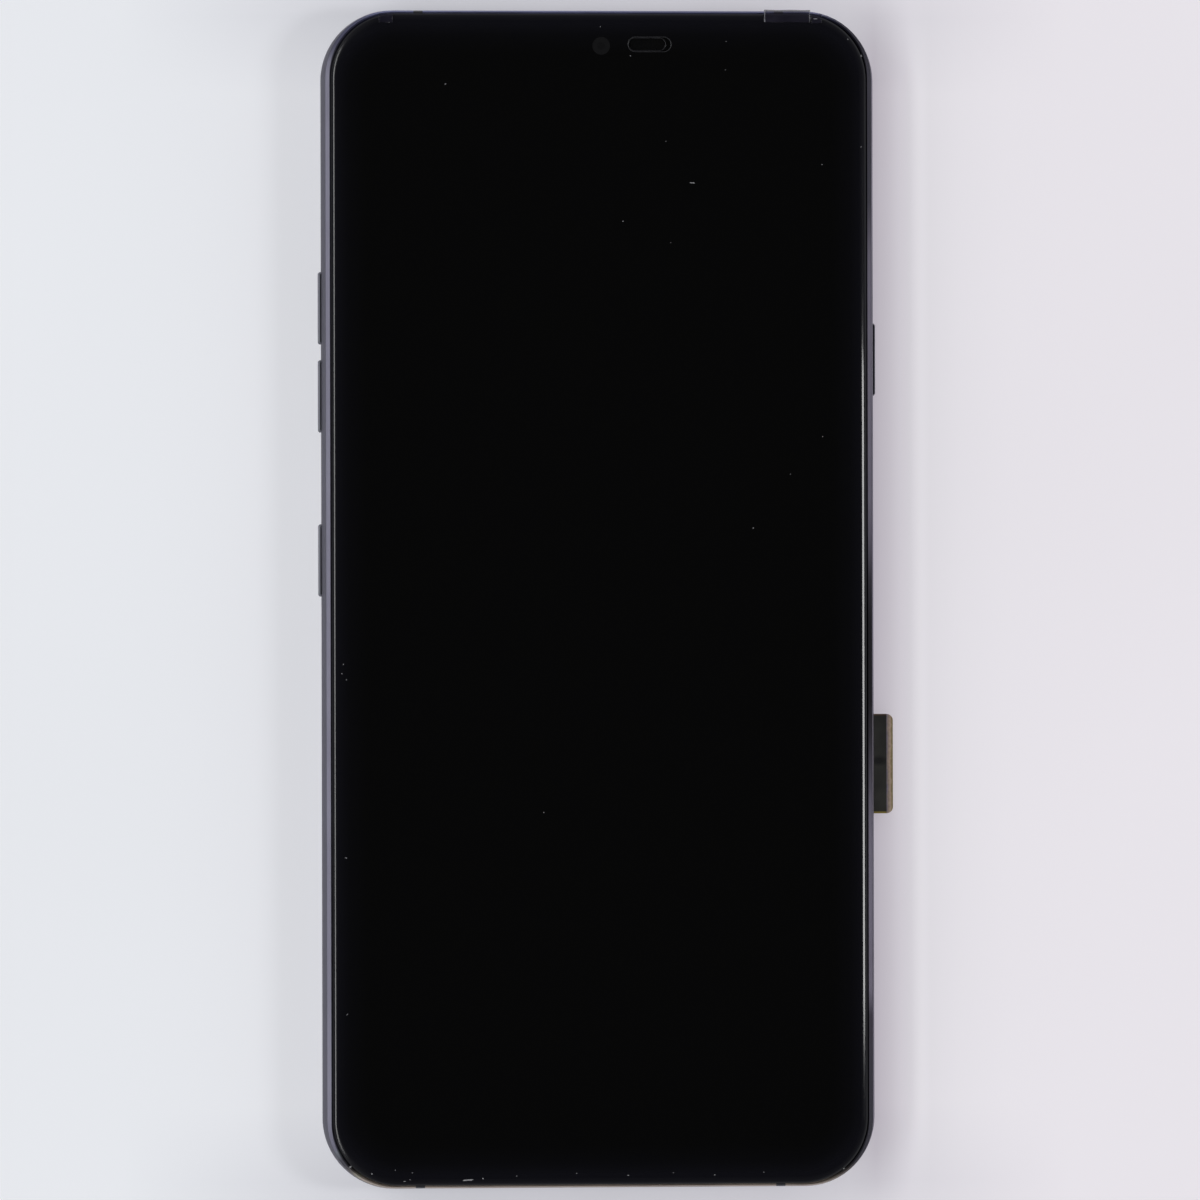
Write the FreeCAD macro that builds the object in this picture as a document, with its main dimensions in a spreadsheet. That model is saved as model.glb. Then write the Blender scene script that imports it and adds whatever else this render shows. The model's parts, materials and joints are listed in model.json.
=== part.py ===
import FreeCAD, Part
import math
import operator
import os
from types import SimpleNamespace

import Sketcher
from FreeCAD import Vector

# Phone LCD screen assembly, in millimetres: the front glass with its display, bonded into
# the side rail and middle plate that carry the keys, and the display's flexible tail.
# The origin is the centre of the glass's outer face. +X is to the right seen from the
# front, +Y towards the earpiece and +Z out of the screen. A depth is a distance behind
# the outer face of the glass.

# Driving dimensions. A size called side_ belongs to the two long rails, end_ to the two
# short ones.
DRIVING = {
    # Side rail, outside
    "frame_width": 72.1,
    "frame_height": 153.2,
    "frame_depth": 7.2,
    "frame_corner": 9.2,
    "rim_drop": 0.45,
    "bevel_foot": 1.0,
    "side_bevel": 0.55,
    "side_crown": 0.45,
    "end_bevel": 0.2,
    "end_crown": 0.12,
    "rear_bevel_rise": 0.45,
    "side_rear_bevel": 0.35,
    "end_rear_bevel": 0.15,
    # Side rail, inside
    "opening_corner": 8.7,
    "side_ledge": 1.75,
    "end_ledge": 0.78,
    "display_corner": 7.6,
    "side_wall": 1.75,
    "end_wall": 1.6,
    "cavity_corner": 7.9,
    "cover_rebate": 0.6,
    "side_rebate": 1.2,
    "end_rebate": 0.85,
    # Front glass and the bead that holds it
    "glass_gap": 0.2,
    "glass_thickness": 0.6,
    "edge_run": 1.2,
    "edge_drop": 0.35,
    "bead_thickness": 0.2,
    "bead_margin": 0.1,
    # Earpiece, camera and sensor: their line below the top edge, and their places along it
    "head_drop": 4.5,
    "earpiece_across": 6.6,
    "earpiece_length": 5.7,
    "earpiece_width": 2.0,
    "camera_across": 0.3,
    "camera_shift": 0.2,
    "camera_window": 1.15,
    "sensor_across": -4.7,
    # Display panel
    "panel_border": 3.35,
    "panel_head": 2.2,
    "panel_corner": 7.0,
    "film_inset": 0.55,
    "film_corner": 6.45,
    "notch_left_margin": 3.7,
    "notch_right_margin": 5.8,
    "notch_clearance": 0.4,
    "view_chin": 5.6,
    "driver_ledge": 3.0,
    "optical_adhesive": 0.15,
    "polariser": 0.12,
    "panel_glass": 0.2,
    "prism": 0.12,
    "diffuser": 0.1,
    "guide": 0.4,
    "reflector": 0.08,
    "tray_sheet": 0.12,
    "tray_gap": 0.06,
    "lamp_margin": 3.25,
    "lamp_width": 1.9,
    "lamp_depth": 0.9,
    "lamp_rise": 0.36,
    "chip_length": 22.0,
    "chip_width": 1.1,
    "chip_rise": 0.22,
    # Display flex, its slot and its tail
    "flex_thickness": 0.1,
    "flex_band": 21.8,
    "flex_neck": 10.8,
    "flex_run_in": 3.8,
    "flex_wall_gap": 1.25,
    "flex_low": -28.1,
    "flex_width": 13.0,
    "flex_bend": 0.6,
    "flex_tail_rise": 0.55,
    "flex_reach": 2.85,
    "tail_bend": 0.35,
    "tail_clear": 0.25,
    "stiffener_thickness": 0.15,
    "stiffener_clear": 0.35,
    "stiffener_margin": 0.85,
    "connector_width": 1.5,
    "connector_length": 11.0,
    "tail_corner": 0.85,
    "socket_depth": 0.25,
    "contact_pitch": 0.7,
    "contact_width": 0.2,
    # Middle plate
    "plate_depth": 2.5,
    "plate_thickness": 0.6,
    "graphite_thickness": 0.12,
    "fit_gap": 0.05,
    "rib_thickness": 0.9,
    "rib_height": 2.8,
    "battery_side_gap": 2.25,
    "arm_width": 11.0,
    "upper_bay": 50.5,
    "lower_bay": 29.9,
    "battery_corner": 1.2,
    "pedestal_half": 1.3,
    "pedestal_height": 0.8,
    "sensor_window": 1.4,
    "camera_opening": 1.6,
    "camera_seal": 2.3,
    "slot_margin": 0.5,
    "bead_groove": 0.2,
    # Inner moulding with its screw bosses
    "moulding_wall": 1.3,
    "moulding_height": 3.5,
    "boss_half": 1.6,
    "boss_height": 3.1,
    "insert_radius": 1.1,
    "insert_length": 1.8,
    "thread_radius": 0.7,
    "boss_inset": 2.65,
    "boss_end_gap": 8.6,
    "upper_boss_gap": 26.6,
    "web_thickness": 1.4,
    "chamber_wall": 0.8,
    "chamber_gap": 23.0,
    "cheek_thickness": 1.0,
    "usb_cheek_gap": 0.6,
    "jack_cheek_gap": 1.0,
    "insert_clear": 0.3,
    # Keys
    "key_depth": 4.3,
    "key_height": 1.9,
    "key_corner": 0.45,
    "key_chamfer": 0.18,
    "key_gap": 0.1,
    "key_proud": 0.35,
    "power_key_proud": 0.3,
    "key_length": 9.4,
    "assistant_drop": 76.2,
    "assistant_pitch": 21.35,
    "volume_pitch": 11.45,
    "power_drop": 50.1,
    "key_flange": 0.6,
    "flange_thickness": 0.5,
    "flange_gap": 0.05,
    "nub_length": 0.25,
    "key_travel": 0.25,
    "dome_gap": 0.05,
    "dome_height": 0.35,
    "key_flex": 0.15,
    "bracket_sheet": 0.25,
    "circuit_height": 2.0,
    "switch_length": 3.0,
    "switch_height": 1.5,
    "nub_width": 2.0,
    "nub_height": 1.2,
    "bay_margin": 0.6,
    "foot_length": 3.4,
    "plug_length": 2.6,
    "plug_height": 0.7,
    "seal_wall": 0.8,
    "bracket_foot": 0.9,
    "tongue_width": 3.0,
    "tongue_reach": 6.5,
    "mesh_thickness": 0.15,
    "tape_thickness": 0.15,
    # Openings in the end rails
    "port_depth": 4.7,
    "usb_length": 9.0,
    "usb_height": 3.2,
    "jack_across": -17.0,
    "jack_radius": 1.8,
    "mic_across": -9.0,
    "mic_radius": 0.45,
    "speaker_start": 10.5,
    "speaker_pitch": 2.1,
    "speaker_radius": 0.7,
    "tray_slot_left": -25.0,
    "tray_slot_length": 14.2,
    "tray_slot_height": 1.5,
    "top_mic_across": 12.0,
    "antenna_inset": 12.55,
    "antenna_width": 1.2,
    "antenna_bite": 0.75,
    "foam_margin": 8.0,
    "foam_inset": 1.0,
    # Clear protective film
    "film_thickness": 0.1,
    "film_hold": 1.75,
    "tab_margin": 8.5,
    "tab_width": 5.95,
    "tab_reach": 0.1,
    "scrap_width": 1.3,
    "scrap_gap": 0.2,
}

SPEAKER_HOLES = 5
LAMPS = 20
CONTACTS = 13
GROOVES = 5

doc = FreeCAD.newDocument("phone_lcd_screen_assembly")
sheet = doc.addObject("Spreadsheet::Sheet", "sizes")
for row, (name, number) in enumerate(DRIVING.items(), start=1):
    sheet.set(f"A{row}", name)
    sheet.set(f"B{row}", str(number))
    sheet.setAlias(f"B{row}", name)
doc.recompute()


class Size:
    """A length together with the sheet expression that it comes from."""

    def __init__(self, number, text):
        self.number = number
        self.text = text

    def __neg__(self):
        return Size(-self.number, f"(-{self.text})")


def sized(value):
    """Return the value as a Size, also when it is a plain number."""
    return value if isinstance(value, Size) else Size(float(value), repr(float(value)))


def joined(sign, work, swapped=False):
    """Return a method of Size for one arithmetic sign."""

    def method(one, other):
        first, second = (sized(other), one) if swapped else (one, sized(other))
        return Size(work(first.number, second.number), f"({first.text} {sign} {second.text})")

    return method


for title, sign, work in (
    ("add", "+", operator.add),
    ("sub", "-", operator.sub),
    ("mul", "*", operator.mul),
    ("truediv", "/", operator.truediv),
):
    setattr(Size, f"__{title}__", joined(sign, work))
    setattr(Size, f"__r{title}__", joined(sign, work, swapped=True))

size = SimpleNamespace(**{name: Size(float(sheet.get(name)), f"sizes.{name}") for name in DRIVING})


# Outlines

def rectangle(left, right, bottom, top, corner=0):
    """A rectangle, its corners rounded by one radius."""
    return [(left, bottom, corner), (right, bottom, corner), (right, top, corner), (left, top, corner)]


def notched(half, bottom, top, corner, margin=0):
    """The display's outline: a rounded rectangle with the notch at its upper edge."""
    left = notch_left - margin
    right = notch_right + margin
    floor = notch_floor - margin
    return [
        (-half, bottom, corner),
        (half, bottom, corner),
        (half, top, corner),
        (right, top, 0),
        (right, floor, 0),
        (left, floor, 0),
        (left, top, 0),
        (-half, top, corner),
    ]


def circle(across, up, radius):
    """A circle about a point."""
    return ("circle", across, up, radius)


def slot(left, right, bottom, top):
    """A slot with half-round ends."""
    return ("slot", left, right, bottom, top)


def fix(sketch, kind, *arguments):
    """Add one dimension to a sketch and bind it to its expression."""
    value = sized(arguments[-1])
    index = sketch.addConstraint(Sketcher.Constraint(kind, *arguments[:-1], value.number))
    if "sizes." in value.text:
        sketch.setExpression(f"Constraints[{index}]", value.text)


def draw_circle(sketch, across, up, radius):
    """Draw a circle with its centre and radius bound."""
    across, up, radius = sized(across), sized(up), sized(radius)
    centre = Vector(across.number, up.number, 0)
    item = sketch.addGeometry(Part.Circle(centre, Vector(0, 0, 1), radius.number), False)
    fix(sketch, "Radius", item, radius)
    fix(sketch, "DistanceX", -1, 1, item, 3, across)
    fix(sketch, "DistanceY", -1, 1, item, 3, up)


def draw_slot(sketch, left, right, bottom, top):
    """Draw a slot from two straight runs and two half circles."""
    left, right, bottom, top = sized(left), sized(right), sized(bottom), sized(top)
    radius = (top - bottom) / 2
    middle = (top + bottom) / 2
    near, far = left + radius, right - radius
    up = Vector(0, 0, 1)
    first = sketch.GeometryCount
    ends = [
        Part.Circle(Vector(far.number, middle.number, 0), up, radius.number),
        Part.Circle(Vector(near.number, middle.number, 0), up, radius.number),
    ]
    runs = [
        (Vector(near.number, bottom.number, 0), Vector(far.number, bottom.number, 0)),
        (Vector(far.number, top.number, 0), Vector(near.number, top.number, 0)),
    ]
    sketch.addGeometry(
        [
            Part.LineSegment(*runs[0]),
            Part.ArcOfCircle(ends[0], -math.pi / 2, math.pi / 2),
            Part.LineSegment(*runs[1]),
            Part.ArcOfCircle(ends[1], math.pi / 2, 3 * math.pi / 2),
        ],
        False,
    )
    for step in range(4):
        following = first + (step + 1) % 4
        sketch.addConstraint(Sketcher.Constraint("Tangent", first + step, 2, following, 1))
    sketch.addConstraint(Sketcher.Constraint("Horizontal", first))
    fix(sketch, "Radius", first + 1, radius)
    fix(sketch, "DistanceX", -1, 1, first + 1, 3, far)
    fix(sketch, "DistanceX", -1, 1, first + 3, 3, near)
    fix(sketch, "DistanceY", -1, 1, first + 1, 3, middle)


def draw_loop(sketch, corners):
    """Draw a closed outline of level and upright lines, with an arc at each rounded corner."""
    points = [Vector(sized(x).number, sized(y).number, 0) for x, y, radius in corners]
    radii = [sized(radius) for x, y, radius in corners]
    count = len(points)
    ways = [(points[(i + 1) % count] - points[i]).normalize() for i in range(count)]
    first = sketch.GeometryCount
    lines = []
    for i in range(count):
        start = points[i] + ways[i] * radii[i].number
        end = points[(i + 1) % count] - ways[i] * radii[(i + 1) % count].number
        lines.append(Part.LineSegment(start, end))
    sketch.addGeometry(lines, False)
    for i, (across, up, _) in enumerate(corners):
        level = abs(ways[i].y) < 0.5
        sketch.addConstraint(Sketcher.Constraint("Horizontal" if level else "Vertical", first + i))
        fix(sketch, "DistanceY" if level else "DistanceX", -1, 1, first + i, 1, up if level else across)
    for i in range(count):
        before = first + (i - 1) % count
        after = first + i
        if radii[i].number == 0:
            sketch.addConstraint(Sketcher.Constraint("Coincident", before, 2, after, 1))
            continue
        way_in, way_out = ways[i - 1], ways[i]
        left_turn = way_in.cross(way_out).z > 0
        centre = points[i] + (way_out - way_in) * radii[i].number
        begin = points[i] - way_in * radii[i].number - centre
        finish = points[i] + way_out * radii[i].number - centre
        if not left_turn:
            begin, finish = finish, begin
        angle = math.atan2(begin.y, begin.x)
        arc = sketch.addGeometry(
            Part.ArcOfCircle(
                Part.Circle(centre, Vector(0, 0, 1), radii[i].number), angle, angle + math.pi / 2
            ),
            False,
        )
        entry, leave = (1, 2) if left_turn else (2, 1)
        sketch.addConstraint(Sketcher.Constraint("Tangent", before, 2, arc, entry))
        sketch.addConstraint(Sketcher.Constraint("Tangent", after, 1, arc, leave))
        fix(sketch, "Radius", arc, radii[i])


def draw(sketch, outlines):
    """Draw each outline in a sketch."""
    for outline in outlines:
        if outline[0] == "circle":
            draw_circle(sketch, *outline[1:])
        elif outline[0] == "slot":
            draw_slot(sketch, *outline[1:])
        else:
            draw_loop(sketch, outline)


# Features

PARTS = []


def new_body(name, listed=True):
    """Start a sub-part, which may hold several separate solids."""
    body = doc.addObject("PartDesign::Body", name)
    body.Label = name
    body.AllowCompound = True
    if listed:
        PARTS.append(body)
    return body


def sketch_on(body, name, role, offset, outlines=()):
    """Attach a sketch to one of the body's own origin planes, at an offset along its normal."""
    sketch = body.newObject("Sketcher::SketchObject", name)
    plane = next(item for item in body.Origin.OriginFeatures if item.Role == role)
    sketch.AttachmentSupport = (plane, [""])
    sketch.MapMode = "FlatFace"
    sketch.setExpression("AttachmentOffset.Base.z", sized(offset).text)
    draw(sketch, outlines)
    return sketch


def pad(body, name, sketch, length, flipped=False):
    """Pad a sketch along its normal."""
    feature = body.newObject("PartDesign::Pad", name)
    feature.Profile = sketch
    feature.Reversed = flipped
    feature.setExpression("Length", sized(length).text)
    doc.recompute()
    return feature


def pocket(body, name, sketch, length):
    """Pocket a sketch against its normal, and make sure that it takes material away."""
    before = body.Shape.Volume
    feature = body.newObject("PartDesign::Pocket", name)
    feature.Profile = sketch
    feature.setExpression("Length", sized(length).text)
    doc.recompute()
    if body.Shape.Volume >= before - 1e-6:
        raise RuntimeError(f"{name} cuts nothing")
    return feature


def slab(body, name, depth, thickness, *outlines):
    """Add a flat layer whose front face lies at a depth."""
    sketch = sketch_on(body, name + "_outline", "XY_Plane", -(depth + sized(thickness)), outlines)
    return pad(body, name, sketch, thickness)


def recess(body, name, depth, thickness, *outlines):
    """Cut a flat layer whose front face lies at a depth."""
    sketch = sketch_on(body, name + "_outline", "XY_Plane", -sized(depth), outlines)
    return pocket(body, name, sketch, thickness)


def cut_across(body, name, start, length, *outlines):
    """Cut towards -X from a start position, with outlines in Y and Z."""
    return pocket(body, name, sketch_on(body, name + "_outline", "YZ_Plane", start, outlines), length)


def cut_up(body, name, start, length, *outlines):
    """Cut towards +Y from a start position, with outlines in X and Z."""
    return pocket(body, name, sketch_on(body, name + "_outline", "XZ_Plane", -sized(start), outlines), length)


def plate(name, depth, thickness, *outlines):
    """Make a flat piece in a body of its own."""
    body = new_body(name)
    slab(body, "sheet", depth, thickness, *outlines)
    return body


# Places that several pieces share

half_x = size.frame_width / 2
half_y = size.frame_height / 2
opening_x = half_x - size.side_crown - size.side_bevel
opening_y = half_y - size.end_crown - size.end_bevel
glass_x = opening_x - size.glass_gap
glass_y = opening_y - size.glass_gap
glass_corner = size.opening_corner - size.glass_gap
glass_seat = size.glass_thickness + size.bead_thickness
display_x = opening_x - size.side_ledge
display_y = opening_y - size.end_ledge
cavity_x = half_x - size.side_wall
cavity_y = half_y - size.end_wall
plate_rear = size.plate_depth + size.plate_thickness
wall_x = cavity_x - size.fit_gap
wall_y = cavity_y - size.fit_gap
inner_x = wall_x - size.moulding_wall
inner_y = wall_y - size.moulding_wall

# The line of the earpiece, camera and sensor, and the notch of the display round them
earpiece_up = half_y - size.head_drop
camera_up = earpiece_up - size.camera_shift
notch_left = size.sensor_across - size.notch_left_margin
notch_right = size.earpiece_across + size.notch_right_margin
notch_floor = camera_up - size.camera_seal - size.notch_clearance
panel_x = half_x - size.panel_border
panel_top = half_y - size.panel_head
view_bottom = size.view_chin - half_y
film_x = panel_x - size.film_inset
film_top = panel_top - size.film_inset
driver_edge = view_bottom - size.driver_ledge

# The display flex: where it drops through the middle plate, and its tail beyond the rail
drop_line = inner_x - size.flex_wall_gap
flex_right = drop_line - size.flex_run_in
flex_left = flex_right - size.flex_band
flex_neck_left = flex_right - size.flex_neck
flex_high = size.flex_low + size.flex_width
tail_start = half_x - size.side_crown - size.side_rear_bevel + size.tail_clear
tail_end = half_x + size.flex_reach
stiffener_start = half_x + size.stiffener_clear
stiffener_end = tail_end - size.stiffener_margin

# The bays behind the middle plate
battery_left = size.battery_side_gap - inner_x
battery_right = drop_line - size.arm_width
battery_top = half_y - size.upper_bay
battery_bottom = size.lower_bay - half_y
arm_middle = battery_right + size.arm_width / 2
lower_line = battery_bottom - size.rib_thickness * 4
boss_across = inner_x - size.boss_inset

# The lower ends of the keys
assistant_low = half_y - size.assistant_drop
volume_down_low = assistant_low + size.assistant_pitch
volume_up_low = volume_down_low + size.volume_pitch
power_low = half_y - size.power_drop

# The display's layers, front to back
cell_front = size.glass_thickness + size.optical_adhesive
filter_front = cell_front + size.polariser
array_front = filter_front + size.panel_glass
array_rear = array_front + size.panel_glass
prism_front = array_rear + size.polariser
diffuser_front = prism_front + size.prism
guide_front = diffuser_front + size.diffuser
reflector_front = guide_front + size.guide
tray_front = reflector_front + size.reflector
tray_rear = tray_front + size.tray_sheet


# Side rail: a barrel-shaped ring of aluminium with a bright front bevel

def rail_section(body, name, depth, side, end):
    """One level of the rail's outer form, drawn in from its widest outline."""
    outline = rectangle(side - half_x, half_x - side, end - half_y, half_y - end, size.frame_corner - side)
    return sketch_on(body, name, "XY_Plane", -depth, [outline])


def rail_loft(body, name, sections, ruled):
    """Join levels of the rail's outer form."""
    loft = body.newObject("PartDesign::AdditiveLoft", name)
    loft.Profile = sections[0]
    loft.Sections = sections[1:]
    loft.Ruled = ruled
    doc.recompute()


rail_form = new_body("rail_form", listed=False)
rear_foot = size.frame_depth - size.rear_bevel_rise
barrel = []
for step, share in enumerate((1.0, 0.25, 0.0, 0.25, 1.0)):
    level = size.bevel_foot + (rear_foot - size.bevel_foot) * (step / 4)
    barrel.append(
        rail_section(rail_form, f"barrel{step}", level, size.side_crown * share, size.end_crown * share)
    )
rail_loft(rail_form, "barrel", barrel, False)
bevel_top = rail_section(
    rail_form, "bevel_top", size.rim_drop,
    size.side_crown + size.side_bevel, size.end_crown + size.end_bevel,
)
bevel_base = rail_section(rail_form, "bevel_base", size.bevel_foot, size.side_crown, size.end_crown)
rail_loft(rail_form, "front_bevel", [bevel_top, bevel_base], True)
rear_base = rail_section(rail_form, "rear_base", rear_foot, size.side_crown, size.end_crown)
rear_rim = rail_section(
    rail_form, "rear_rim", size.frame_depth,
    size.side_crown + size.side_rear_bevel, size.end_crown + size.end_rear_bevel,
)
rail_loft(rail_form, "rear_bevel", [rear_base, rear_rim], True)

# Each key: its name, the rail it is in, its lower end and how far it stands out
KEYS = (
    ("volume_up_key", -1, volume_up_low, size.key_proud),
    ("volume_down_key", -1, volume_down_low, size.key_proud),
    ("assistant_key", -1, assistant_low, size.key_proud),
    ("power_key", 1, power_low, size.power_key_proud),
)
key_front = size.key_depth - size.key_height / 2
key_rear = size.key_depth + size.key_height / 2
port_low = -size.port_depth - size.usb_height / 2
port_high = -size.port_depth + size.usb_height / 2
tray_slot_low = -size.port_depth - size.tray_slot_height / 2
tray_slot_high = -size.port_depth + size.tray_slot_height / 2
antenna_across = half_x - size.antenna_inset
antenna_strips = [
    rectangle(
        side * antenna_across - size.antenna_width / 2,
        side * antenna_across + size.antenna_width / 2,
        half_y - size.antenna_bite if end > 0 else -half_y - 1,
        half_y + 1 if end > 0 else size.antenna_bite - half_y,
    )
    for side in (-1, 1)
    for end in (-1, 1)
]


speaker_span = size.speaker_pitch * (SPEAKER_HOLES - 1)
speaker_holes = [
    circle(size.speaker_start + size.speaker_pitch * hole, -size.port_depth, size.speaker_radius)
    for hole in range(SPEAKER_HOLES)
]
speaker_mouth = slot(
    size.speaker_start - size.speaker_radius, size.speaker_start + speaker_span + size.speaker_radius,
    -size.port_depth - size.speaker_radius, size.speaker_radius - size.port_depth,
)


def end_openings(body, wall, outer, speaker):
    """Cut the ports of the bottom rail and the tray slot and microphone of the top rail."""
    bottom_start = -outer - 1
    reach = wall + 2
    cut_up(
        body, "bottom_ports", bottom_start, reach,
        slot(-size.usb_length / 2, size.usb_length / 2, port_low, port_high),
        circle(size.jack_across, -size.port_depth, size.jack_radius),
        circle(size.mic_across, -size.port_depth, size.mic_radius),
        *speaker,
    )
    cut_up(
        body, "top_ports", outer - wall - 1, reach,
        slot(
            size.tray_slot_left, size.tray_slot_left + size.tray_slot_length,
            tray_slot_low, tray_slot_high,
        ),
        circle(size.top_mic_across, -size.port_depth, size.mic_radius),
    )


side_rail = new_body("side_rail")
side_rail.BaseFeature = rail_form
doc.recompute()
recess(
    side_rail, "glass_seat", 0, glass_seat,
    rectangle(-opening_x, opening_x, -opening_y, opening_y, size.opening_corner),
)
recess(
    side_rail, "display_opening", glass_seat - 0.1, size.plate_depth - glass_seat + 0.2,
    rectangle(-display_x, display_x, -display_y, display_y, size.display_corner),
)
recess(
    side_rail, "rear_cavity", size.plate_depth, size.frame_depth,
    rectangle(-cavity_x, cavity_x, -cavity_y, cavity_y, size.cavity_corner),
)
recess(
    side_rail, "cover_rebate", size.frame_depth - size.cover_rebate, size.cover_rebate + 1,
    rectangle(
        size.side_rebate - half_x, half_x - size.side_rebate,
        size.end_rebate - half_y, half_y - size.end_rebate, size.opening_corner,
    ),
)
for key_name, side, low, proud in KEYS:
    cut_across(
        side_rail, key_name + "_window", side * (half_x - 1) + 3, 6,
        rectangle(
            low - size.key_gap, low + size.key_length + size.key_gap,
            -key_rear - size.key_gap, size.key_gap - key_front, size.key_corner + size.key_gap,
        ),
    )
end_openings(side_rail, size.end_wall, half_y, speaker_holes)
recess(side_rail, "antenna_notches", 0, size.frame_depth + 1, *antenna_strips)

# Plastic fills of the rail's antenna notches
antenna_breaks = new_body("antenna_breaks")
antenna_breaks.BaseFeature = rail_form
doc.recompute()
recess(
    antenna_breaks, "trim", 0, size.frame_depth + 1,
    rectangle(-size.frame_width, size.frame_width, -size.frame_height, size.frame_height),
    *antenna_strips,
)
recess(
    antenna_breaks, "glass_seat", 0, glass_seat,
    rectangle(-opening_x, opening_x, -opening_y, opening_y, size.opening_corner),
)


# Front glass: a flat pane with a long curved edge and the earpiece slot

cover_glass = new_body("cover_glass")
pane = rectangle(-glass_x, glass_x, -glass_y, glass_y, glass_corner)
slab(cover_glass, "pane", 0, size.glass_thickness, pane)
edge_path = sketch_on(cover_glass, "edge_path", "XY_Plane", 0, [pane])
edge_profile = sketch_on(cover_glass, "edge_profile", "YZ_Plane", glass_corner - glass_x)
run, drop = size.edge_run.number, size.edge_drop.number
bend = (run ** 2 + drop ** 2) / (2 * drop)
foot = -glass_y.number
spare = 0.3
edge_profile.addGeometry(
    [
        Part.ArcOfCircle(
            Part.Circle(Vector(foot + run, -bend, 0), Vector(0, 0, 1), bend),
            math.pi / 2, math.pi / 2 + math.asin(run / bend),
        ),
        Part.LineSegment(Vector(foot, -drop, 0), Vector(foot - spare, -drop, 0)),
        Part.LineSegment(Vector(foot - spare, -drop, 0), Vector(foot - spare, spare, 0)),
        Part.LineSegment(Vector(foot - spare, spare, 0), Vector(foot + run, spare, 0)),
        Part.LineSegment(Vector(foot + run, spare, 0), Vector(foot + run, 0, 0)),
    ],
    False,
)
for one, end_one, other, end_other in ((0, 2, 1, 1), (1, 2, 2, 1), (2, 2, 3, 1), (3, 2, 4, 1), (4, 2, 0, 1)):
    edge_profile.addConstraint(Sketcher.Constraint("Coincident", one, end_one, other, end_other))
for line, way in ((1, "Horizontal"), (2, "Vertical"), (3, "Horizontal"), (4, "Vertical")):
    edge_profile.addConstraint(Sketcher.Constraint(way, line))
edge_profile.addConstraint(Sketcher.Constraint("Vertical", 0, 3, 0, 1))
fix(edge_profile, "DistanceX", -1, 1, 0, 1, size.edge_run - glass_y)
fix(edge_profile, "DistanceY", -1, 1, 0, 1, 0)
fix(edge_profile, "DistanceX", -1, 1, 0, 2, -glass_y)
fix(edge_profile, "DistanceY", -1, 1, 0, 2, -size.edge_drop)
fix(edge_profile, "DistanceX", -1, 1, 2, 1, -glass_y - spare)
fix(edge_profile, "DistanceY", -1, 1, 3, 1, spare)
curved_edge = cover_glass.newObject("PartDesign::SubtractivePipe", "curved_edge")
curved_edge.Profile = edge_profile
curved_edge.Spine = (edge_path, [f"Edge{i + 1}" for i in range(8)])
doc.recompute()
earpiece_left = size.earpiece_across - size.earpiece_length / 2
earpiece_right = size.earpiece_across + size.earpiece_length / 2
earpiece_low = earpiece_up - size.earpiece_width / 2
earpiece_high = earpiece_up + size.earpiece_width / 2
recess(
    cover_glass, "earpiece_slot", 0, size.glass_thickness,
    slot(earpiece_left, earpiece_right, earpiece_low, earpiece_high),
)

plate(
    "glass_adhesive", size.glass_thickness, size.bead_thickness,
    rectangle(
        size.bead_margin - glass_x, glass_x - size.bead_margin,
        size.bead_margin - glass_y, glass_y - size.bead_margin, glass_corner - size.bead_margin,
    ),
    rectangle(
        -display_x - size.bead_margin, display_x + size.bead_margin,
        -display_y - size.bead_margin, display_y + size.bead_margin, size.display_corner,
    ),
)

# Fine metal mesh in the earpiece slot, set a little behind the glass face
plate(
    "earpiece_mesh", size.edge_drop, size.glass_thickness - size.edge_drop,
    slot(
        earpiece_left + size.fit_gap, earpiece_right - size.fit_gap,
        earpiece_low + size.fit_gap, earpiece_high - size.fit_gap,
    ),
)


# Display panel: layers of one outline, all cut away round the notch

LAYERS = (
    ("optical_adhesive", size.glass_thickness, size.optical_adhesive, panel_x, panel_top,
     view_bottom, size.panel_corner),
    ("front_polariser", cell_front, size.polariser, panel_x, panel_top,
     view_bottom, size.panel_corner),
    ("colour_filter_glass", filter_front, size.panel_glass, panel_x, panel_top,
     view_bottom, size.panel_corner),
    ("tft_glass", array_front, size.panel_glass, panel_x, panel_top,
     driver_edge, size.panel_corner),
    ("rear_polariser", array_rear, size.polariser, film_x, film_top,
     view_bottom, size.film_corner),
    ("prism_film", prism_front, size.prism, film_x, film_top,
     view_bottom, size.film_corner),
    ("diffuser_film", diffuser_front, size.diffuser, film_x, film_top,
     view_bottom, size.film_corner),
    ("light_guide", guide_front, size.guide, film_x, film_top,
     view_bottom, size.film_corner),
    ("reflector_film", reflector_front, size.reflector, film_x, film_top,
     driver_edge + size.film_inset, size.film_corner),
)
for name, depth, thickness, half, top, bottom, corner in LAYERS:
    margin = 0 if half is panel_x else size.film_inset
    plate(name, depth, thickness, notched(half, bottom, top, corner, margin))

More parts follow.
